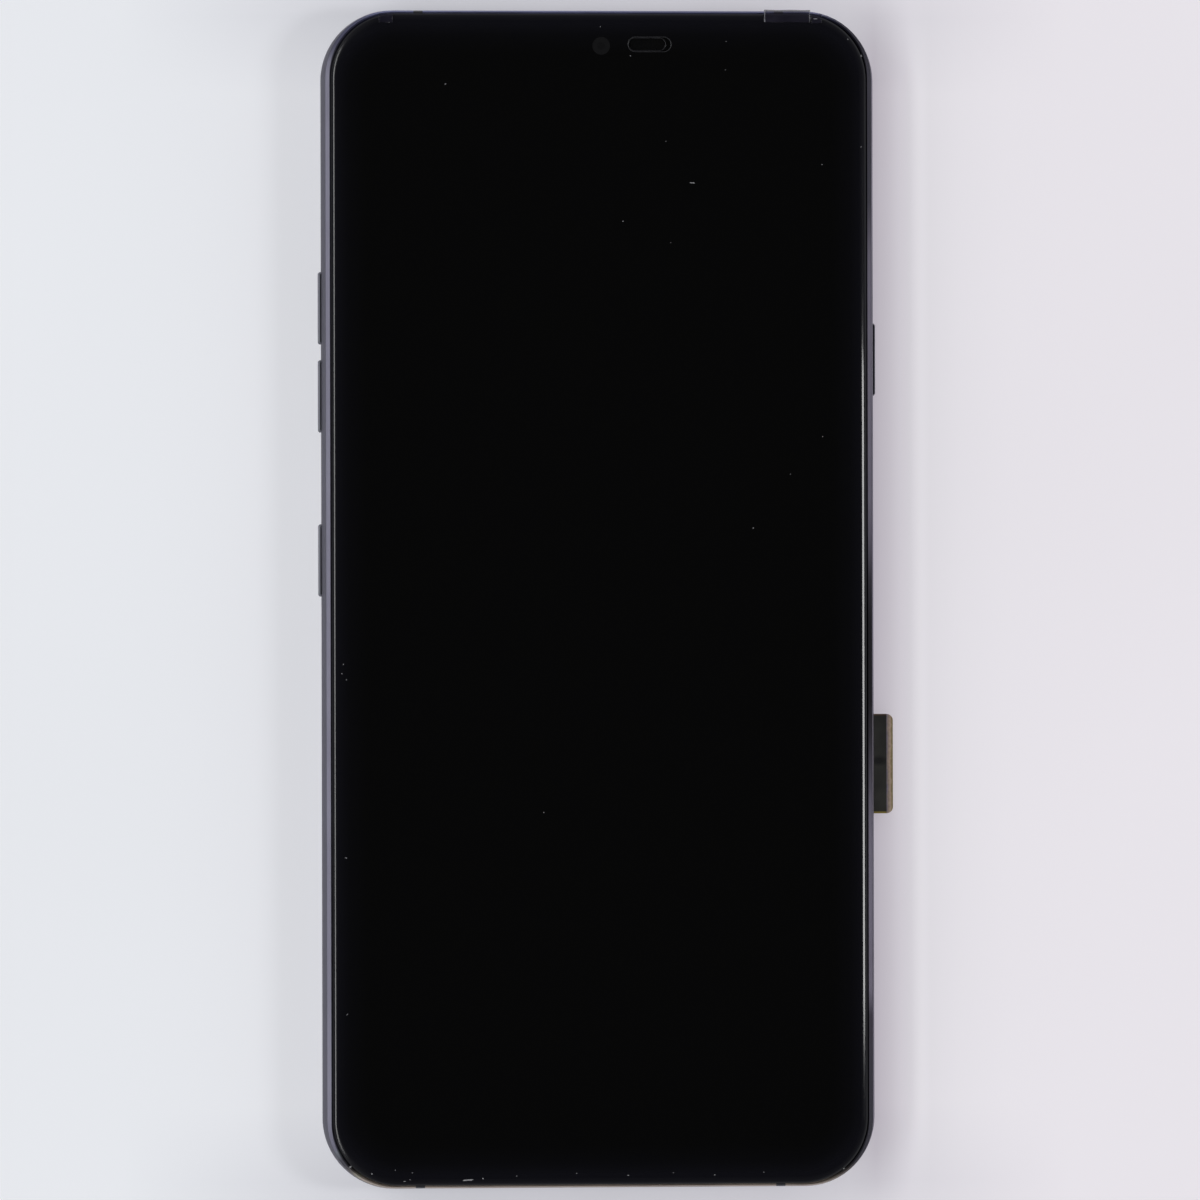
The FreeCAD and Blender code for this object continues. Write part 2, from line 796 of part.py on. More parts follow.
# White plastic frame round the light guide, and the steel tray that holds it
tray_x = panel_x + size.tray_gap + size.tray_sheet
tray_top = panel_top + size.tray_gap + size.tray_sheet
tray_bottom = driver_edge - size.tray_gap - size.tray_sheet
backlight_frame = plate(
    "backlight_frame", array_rear, tray_front - array_rear,
    notched(panel_x, driver_edge, panel_top, size.panel_corner),
)
frame_hole = size.film_inset - size.tray_gap
recess(
    backlight_frame, "film_well", array_rear, tray_front - array_rear,
    notched(
        panel_x - frame_hole, driver_edge + frame_hole, panel_top - frame_hole,
        size.panel_corner - frame_hole, frame_hole,
    ),
)
backlight_tray = plate(
    "backlight_tray", array_rear, tray_rear - array_rear,
    notched(
        tray_x, tray_bottom, tray_top, size.panel_corner, -size.tray_gap - size.tray_sheet,
    ),
)
recess(
    backlight_tray, "frame_well", array_rear, tray_front - array_rear,
    notched(
        panel_x + size.tray_gap, driver_edge - size.tray_gap, panel_top + size.tray_gap,
        size.panel_corner, -size.tray_gap,
    ),
)

# Light-emitting strip along the guide's lower edge
led_strip = new_body("led_strip")
lamp_row = (panel_x - size.lamp_margin - size.lamp_width) * 2
lamp_pitch = lamp_row / (LAMPS - 1)
lamp_high = view_bottom - size.tray_gap
lamp_low = lamp_high - size.lamp_depth
strip_rear = reflector_front - size.lamp_rise
slab(
    led_strip, "carrier", array_rear + size.polariser, reflector_front - size.lamp_rise - prism_front,
    rectangle(
        -lamp_row / 2 - size.lamp_width, lamp_row / 2 + size.lamp_width,
        lamp_low - size.tray_gap, lamp_high,
    ),
)
slab(
    led_strip, "lamps", strip_rear, size.lamp_rise,
    *[
        rectangle(
            lamp_pitch * lamp - lamp_row / 2 - size.lamp_width / 2,
            lamp_pitch * lamp - lamp_row / 2 + size.lamp_width / 2,
            lamp_low, lamp_high,
        )
        for lamp in range(LAMPS)
    ],
)

# Driver chip on the front of the panel's lower ledge
chip_high = view_bottom - size.tray_gap * 4
plate(
    "driver_chip", array_front - size.chip_rise, size.chip_rise,
    rectangle(
        -size.chip_length / 2, size.chip_length / 2, chip_high - size.chip_width, chip_high,
    ),
)


# Display flex: bonded to the ledge, folded behind the tray, and led through a slot of the
# middle plate to a stiffened tail that lies out under the right rail

display_flex = new_body("display_flex")
flex_rear = tray_rear + size.flex_thickness * 1.3
fold_line = tray_bottom - size.flex_thickness
bond_level = -array_front + size.flex_thickness / 2
back_level = -flex_rear + size.flex_thickness / 2
slab(
    display_flex, "back_run", flex_rear - size.flex_thickness, size.flex_thickness,
    [
        (flex_left, fold_line, 0),
        (flex_right, fold_line, 0),
        (flex_right, flex_high, 0),
        (flex_neck_left, flex_high, 0),
        (flex_neck_left, lower_line, 0),
        (flex_left, lower_line, 0),
    ],
)


def path_on(body, name, role, offset, corners, bends):
    """Draw an open path through corners, each one rounded by its own bend radius."""
    points = [Vector(sized(x).number, sized(y).number, 0) for x, y in corners]
    ways = [(points[i + 1] - points[i]).normalize() for i in range(len(points) - 1)]
    turns = [math.acos(ways[i].dot(ways[i + 1])) for i in range(len(ways) - 1)]
    setbacks = [0] + [sized(bend).number * math.tan(turn / 2) for bend, turn in zip(bends, turns)] + [0]
    sketch = sketch_on(body, name, role, offset)
    for i, way in enumerate(ways):
        start = points[i] + way * setbacks[i]
        end = points[i + 1] - way * setbacks[i + 1]
        sketch.addGeometry(Part.LineSegment(start, end), False)
    for i, bend in enumerate(bends):
        radius = sized(bend).number
        left_turn = ways[i].cross(ways[i + 1]).z > 0
        begin = points[i + 1] - ways[i] * setbacks[i + 1]
        finish = points[i + 1] + ways[i + 1] * setbacks[i + 1]
        inward = Vector(-ways[i].y, ways[i].x, 0) * (1 if left_turn else -1)
        centre = begin + inward * radius
        first, last = (begin, finish) if left_turn else (finish, begin)
        angle = math.atan2(first.y - centre.y, first.x - centre.x)
        arc = sketch.addGeometry(
            Part.ArcOfCircle(Part.Circle(centre, Vector(0, 0, 1), radius), angle, angle + turns[i]), False
        )
        entry, leave = (1, 2) if left_turn else (2, 1)
        sketch.addConstraint(Sketcher.Constraint("Tangent", i, 2, arc, entry))
        sketch.addConstraint(Sketcher.Constraint("Tangent", i + 1, 1, arc, leave))
        fix(sketch, "Radius", arc, bend)
        if min(abs(ways[i + 1].x), abs(ways[i + 1].y)) > 0.1:
            foot_of_slope = corners[i + 1][0] - sized(bend) * math.tan(turns[i] / 2)
            fix(sketch, "DistanceX", -1, 1, i, 2, foot_of_slope)
    for i, way in enumerate(ways):
        if abs(way.y) < 0.1:
            sketch.addConstraint(Sketcher.Constraint("Horizontal", i))
            fix(sketch, "DistanceY", -1, 1, i, 1, corners[i][1])
        elif abs(way.x) < 0.1:
            sketch.addConstraint(Sketcher.Constraint("Vertical", i))
            fix(sketch, "DistanceX", -1, 1, i, 1, corners[i][0])
        else:
            sketch.addConstraint(Sketcher.Constraint("Angle", i, math.atan2(way.y, way.x)))
    fix(sketch, "DistanceX", -1, 1, 0, 1, corners[0][0])
    fix(sketch, "DistanceX", -1, 1, len(ways) - 1, 2, corners[-1][0])
    return sketch


def ribbon(body, name, profile, path, runs):
    """Carry a thin section along a path."""
    pipe = body.newObject("PartDesign::AdditivePipe", name)
    pipe.Profile = profile
    pipe.Spine = (path, [f"Edge{i + 1}" for i in range(runs)])
    doc.recompute()


def edges_where(shape, test, upright=False):
    """Name the edges whose every vertex passes a test, or only the upright ones of them."""
    return [
        f"Edge{i}" for i, edge in enumerate(shape.Edges, start=1)
        if all(test(vertex.Point) for vertex in edge.Vertexes)
        and (not upright or edge.BoundBox.XLength + edge.BoundBox.YLength < 0.01)
    ]


def dress(body, kind, name, what, amount, test, upright=False):
    """Fillet or chamfer the edges that pass a test."""
    before = body.Tip
    feature = body.newObject(f"PartDesign::{kind}", name)
    feature.Base = (before, edges_where(before.Shape, test, upright))
    feature.setExpression(what, sized(amount).text)
    doc.recompute()


half_sheet = size.flex_thickness / 2
fold_bend = (bond_level - back_level) * 0.4
fold_edge = fold_line - fold_bend * 1.2
fold_start = driver_edge + size.flex_thickness * 6
fold_profile = sketch_on(
    display_flex, "fold_profile", "XZ_Plane", -fold_start,
    [rectangle(flex_left, flex_right, bond_level - half_sheet, bond_level + half_sheet)],
)
fold_path = path_on(
    display_flex, "fold_path", "YZ_Plane", (flex_left + flex_right) / 2,
    [
        (fold_start, bond_level),
        (fold_edge, bond_level),
        (fold_edge, back_level),
        (fold_line, back_level),
    ],
    [fold_bend, fold_bend],
)
ribbon(display_flex, "fold", fold_profile, fold_path, 5)
rim_level = -size.frame_depth - half_sheet
tail_level = rim_level + size.flex_tail_rise
tail_profile = sketch_on(
    display_flex, "tail_profile", "YZ_Plane", flex_right,
    [rectangle(size.flex_low, flex_high, back_level - half_sheet, back_level + half_sheet)],
)
tail_path = path_on(
    display_flex, "tail_path", "XZ_Plane", -(size.flex_low + flex_high) / 2,
    [
        (flex_right, back_level),
        (drop_line, back_level),
        (drop_line, rim_level),
        (tail_start, rim_level),
        (tail_start + size.flex_tail_rise, tail_level),
        (tail_end, tail_level),
    ],
    [size.flex_bend, size.flex_bend, size.tail_bend, size.tail_bend],
)
ribbon(display_flex, "tail", tail_profile, tail_path, 9)
dress(
    display_flex, "Fillet", "tail_corners", "Radius", size.tail_corner,
    lambda spot: spot.x > tail_end.number - 0.01, upright=True,
)

# Stiffener on the tail's front face, and the board connector on its rear face
tail_front = -tail_level - half_sheet
tail_rear = -tail_level + half_sheet
tail_middle = (size.flex_low + flex_high) / 2
plate(
    "flex_stiffener", tail_front - size.stiffener_thickness, size.stiffener_thickness,
    rectangle(stiffener_start, stiffener_end, size.flex_low, flex_high),
)
connector_height = size.flex_tail_rise - size.flex_thickness
connector_left = stiffener_start + size.fit_gap
connector_right = connector_left + size.connector_width
display_connector = plate(
    "display_connector", tail_rear, connector_height,
    rectangle(
        connector_left, connector_right,
        tail_middle - size.connector_length / 2, tail_middle + size.connector_length / 2,
    ),
)
socket_rim = 0.22
recess(
    display_connector, "socket", tail_rear + connector_height - size.socket_depth, size.socket_depth,
    rectangle(
        connector_left + socket_rim, connector_right - socket_rim,
        tail_middle - size.connector_length / 2 + socket_rim * 2,
        tail_middle + size.connector_length / 2 - socket_rim * 2,
    ),
)
contact_row = size.contact_pitch * (CONTACTS - 1)
contact_lines = (connector_left + socket_rim, connector_right - socket_rim - size.contact_width)
plate(
    "connector_contacts", tail_rear + connector_height - size.socket_depth, size.socket_depth * 0.7,
    *[
        rectangle(
            line, line + size.contact_width,
            tail_middle - contact_row / 2 + size.contact_pitch * number - size.contact_width / 2,
            tail_middle - contact_row / 2 + size.contact_pitch * number + size.contact_width / 2,
        )
        for line in contact_lines
        for number in range(CONTACTS)
    ],
)


# Foam and graphite between the display's tray and the middle plate
foam_low = driver_edge + size.foam_margin
foam_high = notch_floor - size.foam_inset * 3
plate(
    "display_foam", tray_rear, size.plate_depth - size.graphite_thickness - tray_rear,
    rectangle(size.foam_inset - film_x, flex_left - size.foam_inset, foam_low, foam_high),
    rectangle(flex_left, flex_right - size.foam_inset, flex_high + size.foam_inset * 5, foam_high),
)
plate(
    "graphite_sheet", size.plate_depth - size.graphite_thickness, size.graphite_thickness,
    rectangle(size.foam_inset - film_x, flex_right - size.foam_inset, foam_low, foam_high),
)

# Middle plate: cast floor with the battery's walls, stiffening grooves and pedestals
mid_plate = new_body("mid_plate")
slab(
    mid_plate, "floor", size.plate_depth, size.plate_thickness,
    rectangle(
        size.fit_gap - cavity_x, cavity_x - size.fit_gap, size.fit_gap - cavity_y,
        cavity_y - size.fit_gap, size.cavity_corner - size.fit_gap,
    ),
)
slab(
    mid_plate, "battery_walls", plate_rear, size.rib_height,
    rectangle(
        battery_left - size.rib_thickness, battery_right + size.rib_thickness,
        battery_bottom - size.rib_thickness, battery_top + size.rib_thickness,
        size.battery_corner + size.rib_thickness,
    ),
    rectangle(
        battery_left, battery_right, battery_bottom, battery_top,
        size.battery_corner,
    ),
)
# Square seats for the boards: four in the upper bay, three in the arm, two in the lower bay
PEDESTALS = (
    (-20, half_y - 16.6),
    (18, half_y - 15.6),
    (-14, half_y - 39.6),
    (6, half_y - 39.6),
    (arm_middle, half_y - 30.6),
    (arm_middle, 4),
    (arm_middle, -38),
    (-22, 18.6 - half_y),
    (2, 20.6 - half_y),
)
slab(
    mid_plate, "pedestals", plate_rear, size.pedestal_height,
    *[
        rectangle(
            across - size.pedestal_half, across + size.pedestal_half,
            up - size.pedestal_half, up + size.pedestal_half,
        )
        for across, up in PEDESTALS
    ],
)
window_low = earpiece_up - size.sensor_window
window_high = earpiece_up + size.sensor_window
recess(
    mid_plate, "front_windows", size.plate_depth, size.plate_thickness,
    rectangle(
        size.sensor_across - size.sensor_window, size.sensor_across + size.sensor_window,
        window_low + 0.4, window_high - 0.4,
    ),
    rectangle(
        size.camera_across - size.camera_opening, size.camera_across + size.camera_opening,
        camera_up - size.camera_opening, camera_up + size.camera_opening,
    ),
    rectangle(earpiece_left, earpiece_right, earpiece_low, earpiece_high),
)
recess(
    mid_plate, "flex_slot", size.plate_depth, size.plate_thickness,
    rectangle(
        drop_line - size.flex_bend - 0.3, drop_line + size.slot_margin,
        size.flex_low - size.slot_margin, flex_high + size.slot_margin,
    ),
)
groove_gap = (battery_right - battery_left) / (GROOVES + 1)
recess(
    mid_plate, "battery_bed_grooves", plate_rear - size.bead_groove, size.bead_groove,
    *[
        rectangle(
            battery_left + groove_gap * (number + 1) - 1.1,
            battery_left + groove_gap * (number + 1) + 1.1,
            battery_bottom + 7, battery_top - 7,
        )
        for number in range(GROOVES)
    ],
)

# Inner moulding: plastic wall inside the rail, with screw bosses and the speaker's chamber
inner_moulding = new_body("inner_moulding")
slab(
    inner_moulding, "wall", plate_rear, size.moulding_height,
    rectangle(-wall_x, wall_x, -wall_y, wall_y, size.cavity_corner - size.fit_gap),
    rectangle(
        -inner_x, inner_x, -inner_y, inner_y,
        size.cavity_corner - size.fit_gap - size.moulding_wall,
    ),
)
BOSSES = [
    (side * boss_across, up)
    for side in (-1, 1)
    for up in (
        half_y - size.boss_end_gap, half_y - size.upper_boss_gap, size.boss_end_gap - half_y,
    )
]
slab(
    inner_moulding, "bosses", plate_rear, size.boss_height,
    *[
        rectangle(
            across - size.boss_half, across + size.boss_half, up - size.boss_half, up + size.boss_half,
        )
        for across, up in BOSSES
    ],
)
web_half = size.web_thickness / 2
slab(
    inner_moulding, "boss_webs", plate_rear, size.boss_height - 0.4,
    *[
        rectangle(
            across if across.number > 0 else -inner_x - 0.2,
            inner_x + 0.2 if across.number > 0 else across, up - web_half, up + web_half,
        )
        for across, up in BOSSES
    ],
)
chamber_wall = size.chamber_wall
chamber = (
    size.speaker_start - size.speaker_radius * 4, size.speaker_start + speaker_span + 6,
    -inner_y - 0.2, size.chamber_gap - half_y,
)
slab(
    inner_moulding, "speaker_chamber", plate_rear, size.boss_height - 0.5,
    rectangle(*chamber),
    rectangle(
        chamber[0] + chamber_wall, chamber[1] - chamber_wall,
        -inner_y + chamber_wall, chamber[3] - chamber_wall,
    ),
)
usb_cheek = size.usb_length / 2 + size.usb_cheek_gap
jack_cheek = size.jack_radius + size.jack_cheek_gap
CHEEKS = (
    (usb_cheek, 7),
    (-usb_cheek - size.cheek_thickness, 7),
    (size.jack_across + jack_cheek, 11),
    (size.jack_across - jack_cheek - size.cheek_thickness, 11),
)
slab(
    inner_moulding, "port_cheeks", plate_rear, size.boss_height - 0.5,
    *[
        rectangle(left, left + size.cheek_thickness, -inner_y - 0.2, reach - inner_y)
        for left, reach in CHEEKS
    ],
)
insert_seat = size.insert_length + size.insert_clear
recess(
    inner_moulding, "insert_seats", plate_rear + size.boss_height - insert_seat, insert_seat,
    *[circle(across, up, size.insert_radius) for across, up in BOSSES],
)
end_openings(inner_moulding, size.moulding_wall, wall_y, [speaker_mouth])
# Room for the key flanges, their switches and the flexible circuits
KEY_BAYS = (
    (-1, volume_down_low, volume_up_low + size.key_length),
    (-1, assistant_low, assistant_low + size.key_length),
    (1, power_low, power_low + size.key_length),
)
bay_margin = size.key_flange + size.bay_margin
for number, (side, low, high) in enumerate(KEY_BAYS):
    bay_start = -inner_x + 0.5 if side < 0 else wall_x + 0.5
    cut_across(
        inner_moulding, f"key_bay{number}", bay_start, size.moulding_wall + 1,
        rectangle(low - bay_margin, high + bay_margin, -key_rear - 0.25, 0.1 - plate_rear),
    )

plate(
    "threaded_inserts", plate_rear + size.boss_height - size.insert_length, size.insert_length,
    *[circle(across, up, size.insert_radius) for across, up in BOSSES],
    *[circle(across, up, size.thread_radius) for across, up in BOSSES],
)


# Keys: each a cap in its window of the rail, a flange that keeps it in, and a nub that
# presses the switch behind it

def bar(body, name, side, outer, inner, *outlines):
    """Add a layer between two distances from the middle, on one side of the phone."""
    sketch = sketch_on(body, name + "_outline", "YZ_Plane", side * outer, outlines)
    return pad(body, name, sketch, outer - inner, flipped=side > 0)


flange_outer = cavity_x - size.flange_gap
flange_inner = flange_outer - size.flange_thickness
nub_inner = flange_inner - size.nub_length
dome_outer = nub_inner - size.key_travel - size.dome_gap
dome_inner = dome_outer - size.dome_height
circuit_inner = dome_inner - size.key_flex
bracket_inner = circuit_inner - size.bracket_sheet
for key_name, side, low, proud in KEYS:
    key = new_body(key_name)
    high = low + size.key_length
    middle = low + size.key_length / 2
    face = half_x + proud
    bar(key, "cap", side, face, flange_inner,
        rectangle(low, high, -key_rear, -key_front, size.key_corner))
    bar(key, "flange", side, flange_outer, flange_inner,
        rectangle(low - size.key_flange, high + size.key_flange, -key_rear, -key_front))
    bar(key, "nub", side, flange_inner, nub_inner,
        rectangle(
            middle - size.nub_width / 2, middle + size.nub_width / 2,
            -size.key_depth - size.nub_height / 2, size.nub_height / 2 - size.key_depth,
        ))
    dress(key, "Chamfer", "face_chamfer", "Size", size.key_chamfer,
          lambda spot: abs(spot.x) > face.number - 0.01)

# Key circuits: a flexible strip with a switch behind each key, on a steel bracket
SIDES = (
    ("left", -1, [volume_up_low, volume_down_low, assistant_low]),
    ("right", 1, [power_low]),
)
for title, side, lows in SIDES:
    strip_low = lows[-1] - size.key_flange
    strip_high = lows[0] + size.key_length + size.key_flange
    tongue_far = strip_high + size.tongue_width
    tongue = sorted([side * dome_inner, side * (dome_inner - size.tongue_reach)], key=lambda x: x.number)
    circuit = new_body(f"{title}_key_flex")
    bar(circuit, "strip", side, dome_inner, circuit_inner,
        rectangle(strip_low, tongue_far, -plate_rear - size.circuit_height, -plate_rear))
    slab(circuit, "tongue", plate_rear, size.key_flex,
         rectangle(*tongue, strip_high + 0.4, tongue_far))
    switches = new_body(f"{title}_key_switches")
    bar(switches, "domes", side, dome_outer, dome_inner,
        *[
            rectangle(
                low + size.key_length / 2 - size.switch_length / 2,
                low + size.key_length / 2 + size.switch_length / 2,
                -size.key_depth - size.switch_height / 2, size.switch_height / 2 - size.key_depth,
            )
            for low in lows
        ])
    bracket = new_body(f"{title}_key_bracket")
    bar(bracket, "web", side, circuit_inner, bracket_inner,
        rectangle(strip_low, strip_high, -plate_rear - size.circuit_height, -plate_rear))
    foot_span = sorted([side * circuit_inner, side * (circuit_inner - size.bracket_foot)],
                       key=lambda x: x.number)
    slab(bracket, "feet", plate_rear, size.bracket_sheet,
         *[
             rectangle(
                 *foot_span, low + size.key_length / 2 - size.foot_length / 2,
                 low + size.key_length / 2 + size.foot_length / 2,
             )
             for low in lows
         ])
    plug_inner = dome_inner - size.tongue_reach + size.fit_gap * 8
    plug = sorted([side * plug_inner, side * (plug_inner + size.plug_length)], key=lambda x: x.number)
    plate(f"{title}_key_connector", plate_rear + size.key_flex, size.plug_height,
          rectangle(*plug, strip_high + size.tongue_width * 0.25, tongue_far - size.tongue_width * 0.1))


# Seals between the glass and the middle plate
seal_height = size.plate_depth - size.glass_thickness
plate(
    "earpiece_gasket", size.glass_thickness, seal_height,
    rectangle(
        earpiece_left - size.seal_wall, earpiece_right + size.seal_wall,
        earpiece_low - size.seal_wall, earpiece_high + size.seal_wall,
    ),
    rectangle(earpiece_left, earpiece_right, earpiece_low, earpiece_high),
)
plate(
    "camera_gasket", size.glass_thickness, seal_height,
    rectangle(
        size.camera_across - size.camera_seal, size.camera_across + size.camera_seal,
        camera_up - size.camera_seal, camera_up + size.camera_seal,
    ),
    circle(size.camera_across, camera_up, size.camera_window + 0.3),
)
plate(
    "sensor_boot", size.glass_thickness, seal_height,
    rectangle(
        size.sensor_across - size.sensor_window - 0.5, size.sensor_across + size.sensor_window + 0.5,
        window_low - 0.1, window_high + 0.1,
    ),
    rectangle(
        size.sensor_across - size.sensor_window + 0.2, size.sensor_across + size.sensor_window - 0.2,
        window_low + 0.6, window_high - 0.6,
    ),
)

# Meshes behind the speaker holes and the microphone holes
speaker_mesh = new_body("speaker_mesh")
pad(
    speaker_mesh, "sheet",
    sketch_on(
        speaker_mesh, "outline", "XZ_Plane", inner_y - chamber_wall,
        [rectangle(
            size.speaker_start - size.speaker_radius * 1.8,
            size.speaker_start + speaker_span + size.speaker_radius * 1.8,
            -plate_rear - size.fit_gap - size.speaker_radius * 3.4, -plate_rear - size.fit_gap,
        )],
    ),
    size.mesh_thickness, flipped=True,
)
microphone_meshes = new_body("microphone_meshes")
for name, offset, across, flipped in (
    ("bottom", inner_y, size.mic_across, True), ("top", -inner_y, size.top_mic_across, False)
):
    disc = sketch_on(
        microphone_meshes, name + "_outline", "XZ_Plane", offset,
        [rectangle(
            across - size.mic_radius * 2, across + size.mic_radius * 2,
            -size.port_depth - size.mic_radius * 2, size.mic_radius * 2 - size.port_depth,
        )],
    )
    pad(microphone_meshes, name, disc, size.mesh_thickness, flipped)

# Battery adhesive strips and gold-plated grounding pads on the middle plate
tape_width = (battery_right - battery_left) / 5
plate(
    "battery_adhesive", plate_rear, size.tape_thickness,
    *[
        rectangle(
            battery_left + tape_width * start, battery_left + tape_width * (start + 1),
            battery_bottom + 4, battery_top - 4,
        )
        for start in (0.75, 3.25)
    ],
)
PADS = (
    (6.3 - boss_across, half_y - 10.6),
    (12, half_y - 10.6),
    (-8, half_y - 29.6),
    (arm_middle, 20),
    (arm_middle, -10),
    (-10, 10.6 - half_y),
    (-25, 14.6 - half_y),
)
plate(
    "ground_pads", plate_rear, size.mesh_thickness,
    *[rectangle(across - 1.5, across + 1.5, up - 0.8, up + 0.8) for across, up in PADS],
)

# Clear protective film: the pull tab at the top edge and the scraps beside it
film_root = half_y - size.film_hold
tab_tip = half_y + size.tab_reach
tab_right = half_x - size.tab_margin
scrap_left = tab_right + size.scrap_gap
plate(
    "film_pull_tab", -size.film_thickness, size.film_thickness,
    rectangle(tab_right - size.tab_width, tab_right, film_root, tab_tip, 0.4),
)
plate(
    "film_scraps", -size.film_thickness, size.film_thickness,
    rectangle(scrap_left, scrap_left + size.scrap_width, film_root, glass_y),
    rectangle(
        -tab_right - size.scrap_width * 0.85, size.scrap_width * 0.55 - tab_right,
        film_root, glass_y,
    ),
)

# Every feature has to be sound before anything is written
doc.recompute()
failed = [item.Name for item in doc.Objects if {"Invalid", "Error"} & set(item.State)]
unsound = [item.Label for item in PARTS if item.Shape.isNull() or not item.Shape.isValid()]
if failed or unsound:
    raise RuntimeError(f"failed features {failed}, unsound shapes {unsound}")
os.makedirs("parts", exist_ok=True)
for item in PARTS:
    item.Shape.exportStep(f"parts/{item.Label}.step")
    print(item.Label, round(item.Shape.Volume, 3), "mm3", len(item.Shape.Solids), "solids")
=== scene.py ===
"""Looks of the phone screen assembly: its finishes, films and dust, the light, floor and camera."""

import json
import math

import bpy
import numpy as np
from mathutils import Matrix, Vector
from mathutils.geometry import delaunay_2d_cdt

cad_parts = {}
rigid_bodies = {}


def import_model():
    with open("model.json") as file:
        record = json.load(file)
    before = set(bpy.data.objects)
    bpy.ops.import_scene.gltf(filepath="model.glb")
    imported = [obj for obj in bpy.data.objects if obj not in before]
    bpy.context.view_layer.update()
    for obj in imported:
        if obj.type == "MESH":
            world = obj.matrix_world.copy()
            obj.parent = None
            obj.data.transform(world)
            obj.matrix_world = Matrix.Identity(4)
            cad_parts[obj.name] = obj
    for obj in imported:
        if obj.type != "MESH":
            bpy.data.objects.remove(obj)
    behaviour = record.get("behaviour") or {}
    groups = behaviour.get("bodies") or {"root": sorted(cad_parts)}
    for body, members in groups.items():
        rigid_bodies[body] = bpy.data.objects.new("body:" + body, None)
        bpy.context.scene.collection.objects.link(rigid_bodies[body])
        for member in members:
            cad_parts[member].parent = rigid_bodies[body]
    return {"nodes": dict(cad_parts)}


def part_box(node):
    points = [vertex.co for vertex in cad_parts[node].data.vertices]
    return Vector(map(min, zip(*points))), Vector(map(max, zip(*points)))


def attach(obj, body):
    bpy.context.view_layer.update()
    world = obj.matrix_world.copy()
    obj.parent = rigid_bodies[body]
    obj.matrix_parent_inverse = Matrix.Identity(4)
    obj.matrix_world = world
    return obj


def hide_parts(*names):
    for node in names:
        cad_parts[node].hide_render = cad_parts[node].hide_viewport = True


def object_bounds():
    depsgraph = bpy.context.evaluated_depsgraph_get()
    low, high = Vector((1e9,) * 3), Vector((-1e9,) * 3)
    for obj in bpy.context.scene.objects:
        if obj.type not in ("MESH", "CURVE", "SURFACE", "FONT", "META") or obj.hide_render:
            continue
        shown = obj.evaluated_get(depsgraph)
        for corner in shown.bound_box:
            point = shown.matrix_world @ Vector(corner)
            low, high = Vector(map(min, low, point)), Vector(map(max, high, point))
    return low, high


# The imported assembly, in metres. The origin is the middle of the front glass, Y runs up to the
# earpiece end and Z comes out of the glass. A start-up scene's own objects are taken out first.
for spare in list(bpy.data.objects):
    bpy.data.objects.remove(spare)
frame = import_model()
cad_box = [list(corner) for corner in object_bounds()]


# Camera: a copy stand's lens far above the glass. It leans a little to the left, so the left rail
# shows its side and the right one hides it, and the object is turned by an eighth of a degree.
def placed(name, data):
    """A thing of that name, put into the scene."""
    thing = bpy.data.objects.new(name, data)
    bpy.context.scene.collection.objects.link(thing)
    return thing


MM = 0.001
lean = math.radians(4.4)
turn = math.radians(0.12)
distance = 1350 * MM
pixel = MM / 7.684
seen_width = 1200 * pixel
sensor_width = 36.0
aim = Vector((1.1 * pixel, -0.9 * pixel, -2.0 * MM))
outward = Vector((-math.sin(lean), 0.0, math.cos(lean)))
lens_body = bpy.data.cameras.new("copy_stand_lens")
lens_body.sensor_width = sensor_width
lens_body.lens = sensor_width * distance / seen_width
lens_body.clip_start = 0.05
lens_body.clip_end = 20.0
camera = placed("copy_stand_camera", lens_body)
upright = Matrix((
    (math.cos(lean), 0.0, math.sin(-lean)),
    (0.0, 1.0, 0.0),
    (math.sin(lean), 0.0, math.cos(lean)),
)).to_4x4()
turned = Matrix.Rotation(-turn, 4, "Z")
camera.matrix_world = Matrix.Translation(aim + outward * distance) @ upright @ turned
bpy.context.scene.camera = camera
bpy.context.scene.view_settings.view_transform = "Standard"


# Floor: a sheet of matt pale card, with the faint uneven tint that such a card shows. Painted
# shadow darkens it beyond the object's top and bottom ends and in a mauve band beside the right
# rail. A black cloth hangs above the lens, so the glass mirrors darkness there and stays black.
def add(tree, kind, values=None, **settings):
    """A node of that kind, with its settings. A socket takes a value or another node's output."""
    node = tree.nodes.new(kind)
    for name, value in settings.items():
        setattr(node, name, value)
    for socket, value in (values or {}).items():
        if isinstance(value, bpy.types.NodeSocket):
            tree.links.new(value, node.inputs[socket])
        else:
            node.inputs[socket].default_value = value
    return node


def place_on(tree):
    """A point's place on its own piece, and then its x, y and z."""
    place = add(tree, "ShaderNodeTexCoord").outputs["Object"]
    return place, *add(tree, "ShaderNodeSeparateXYZ", {"Vector": place}).outputs


def maths(tree, operation, *terms):
    """The terms, each a reading or a number, put together by that operation."""
    return add(tree, "ShaderNodeMath", dict(enumerate(terms)), operation=operation).outputs["Value"]


def vector_maths(tree, operation, *terms):
    """The same for places in three directions. A length comes out as one number."""
    node = add(tree, "ShaderNodeVectorMath", dict(enumerate(terms)), operation=operation)
    return node.outputs["Value" if operation == "LENGTH" else "Vector"]


def span(tree, reading, low, high, start=0.0, end=1.0, **settings):
    """A reading from low to high becomes start to end, and it stays there beyond either."""
    values = {"Value": reading, "From Min": low, "From Max": high, "To Min": start, "To Max": end}
    return add(tree, "ShaderNodeMapRange", values, **settings).outputs["Result"]


def clouds(tree, place, scale, detail):
    """A soft noise of that many features per metre, as a reading about one half."""
    values = {"Vector": place, "Scale": scale, "Detail": detail}
    return add(tree, "ShaderNodeTexNoise", values).outputs["Fac"]


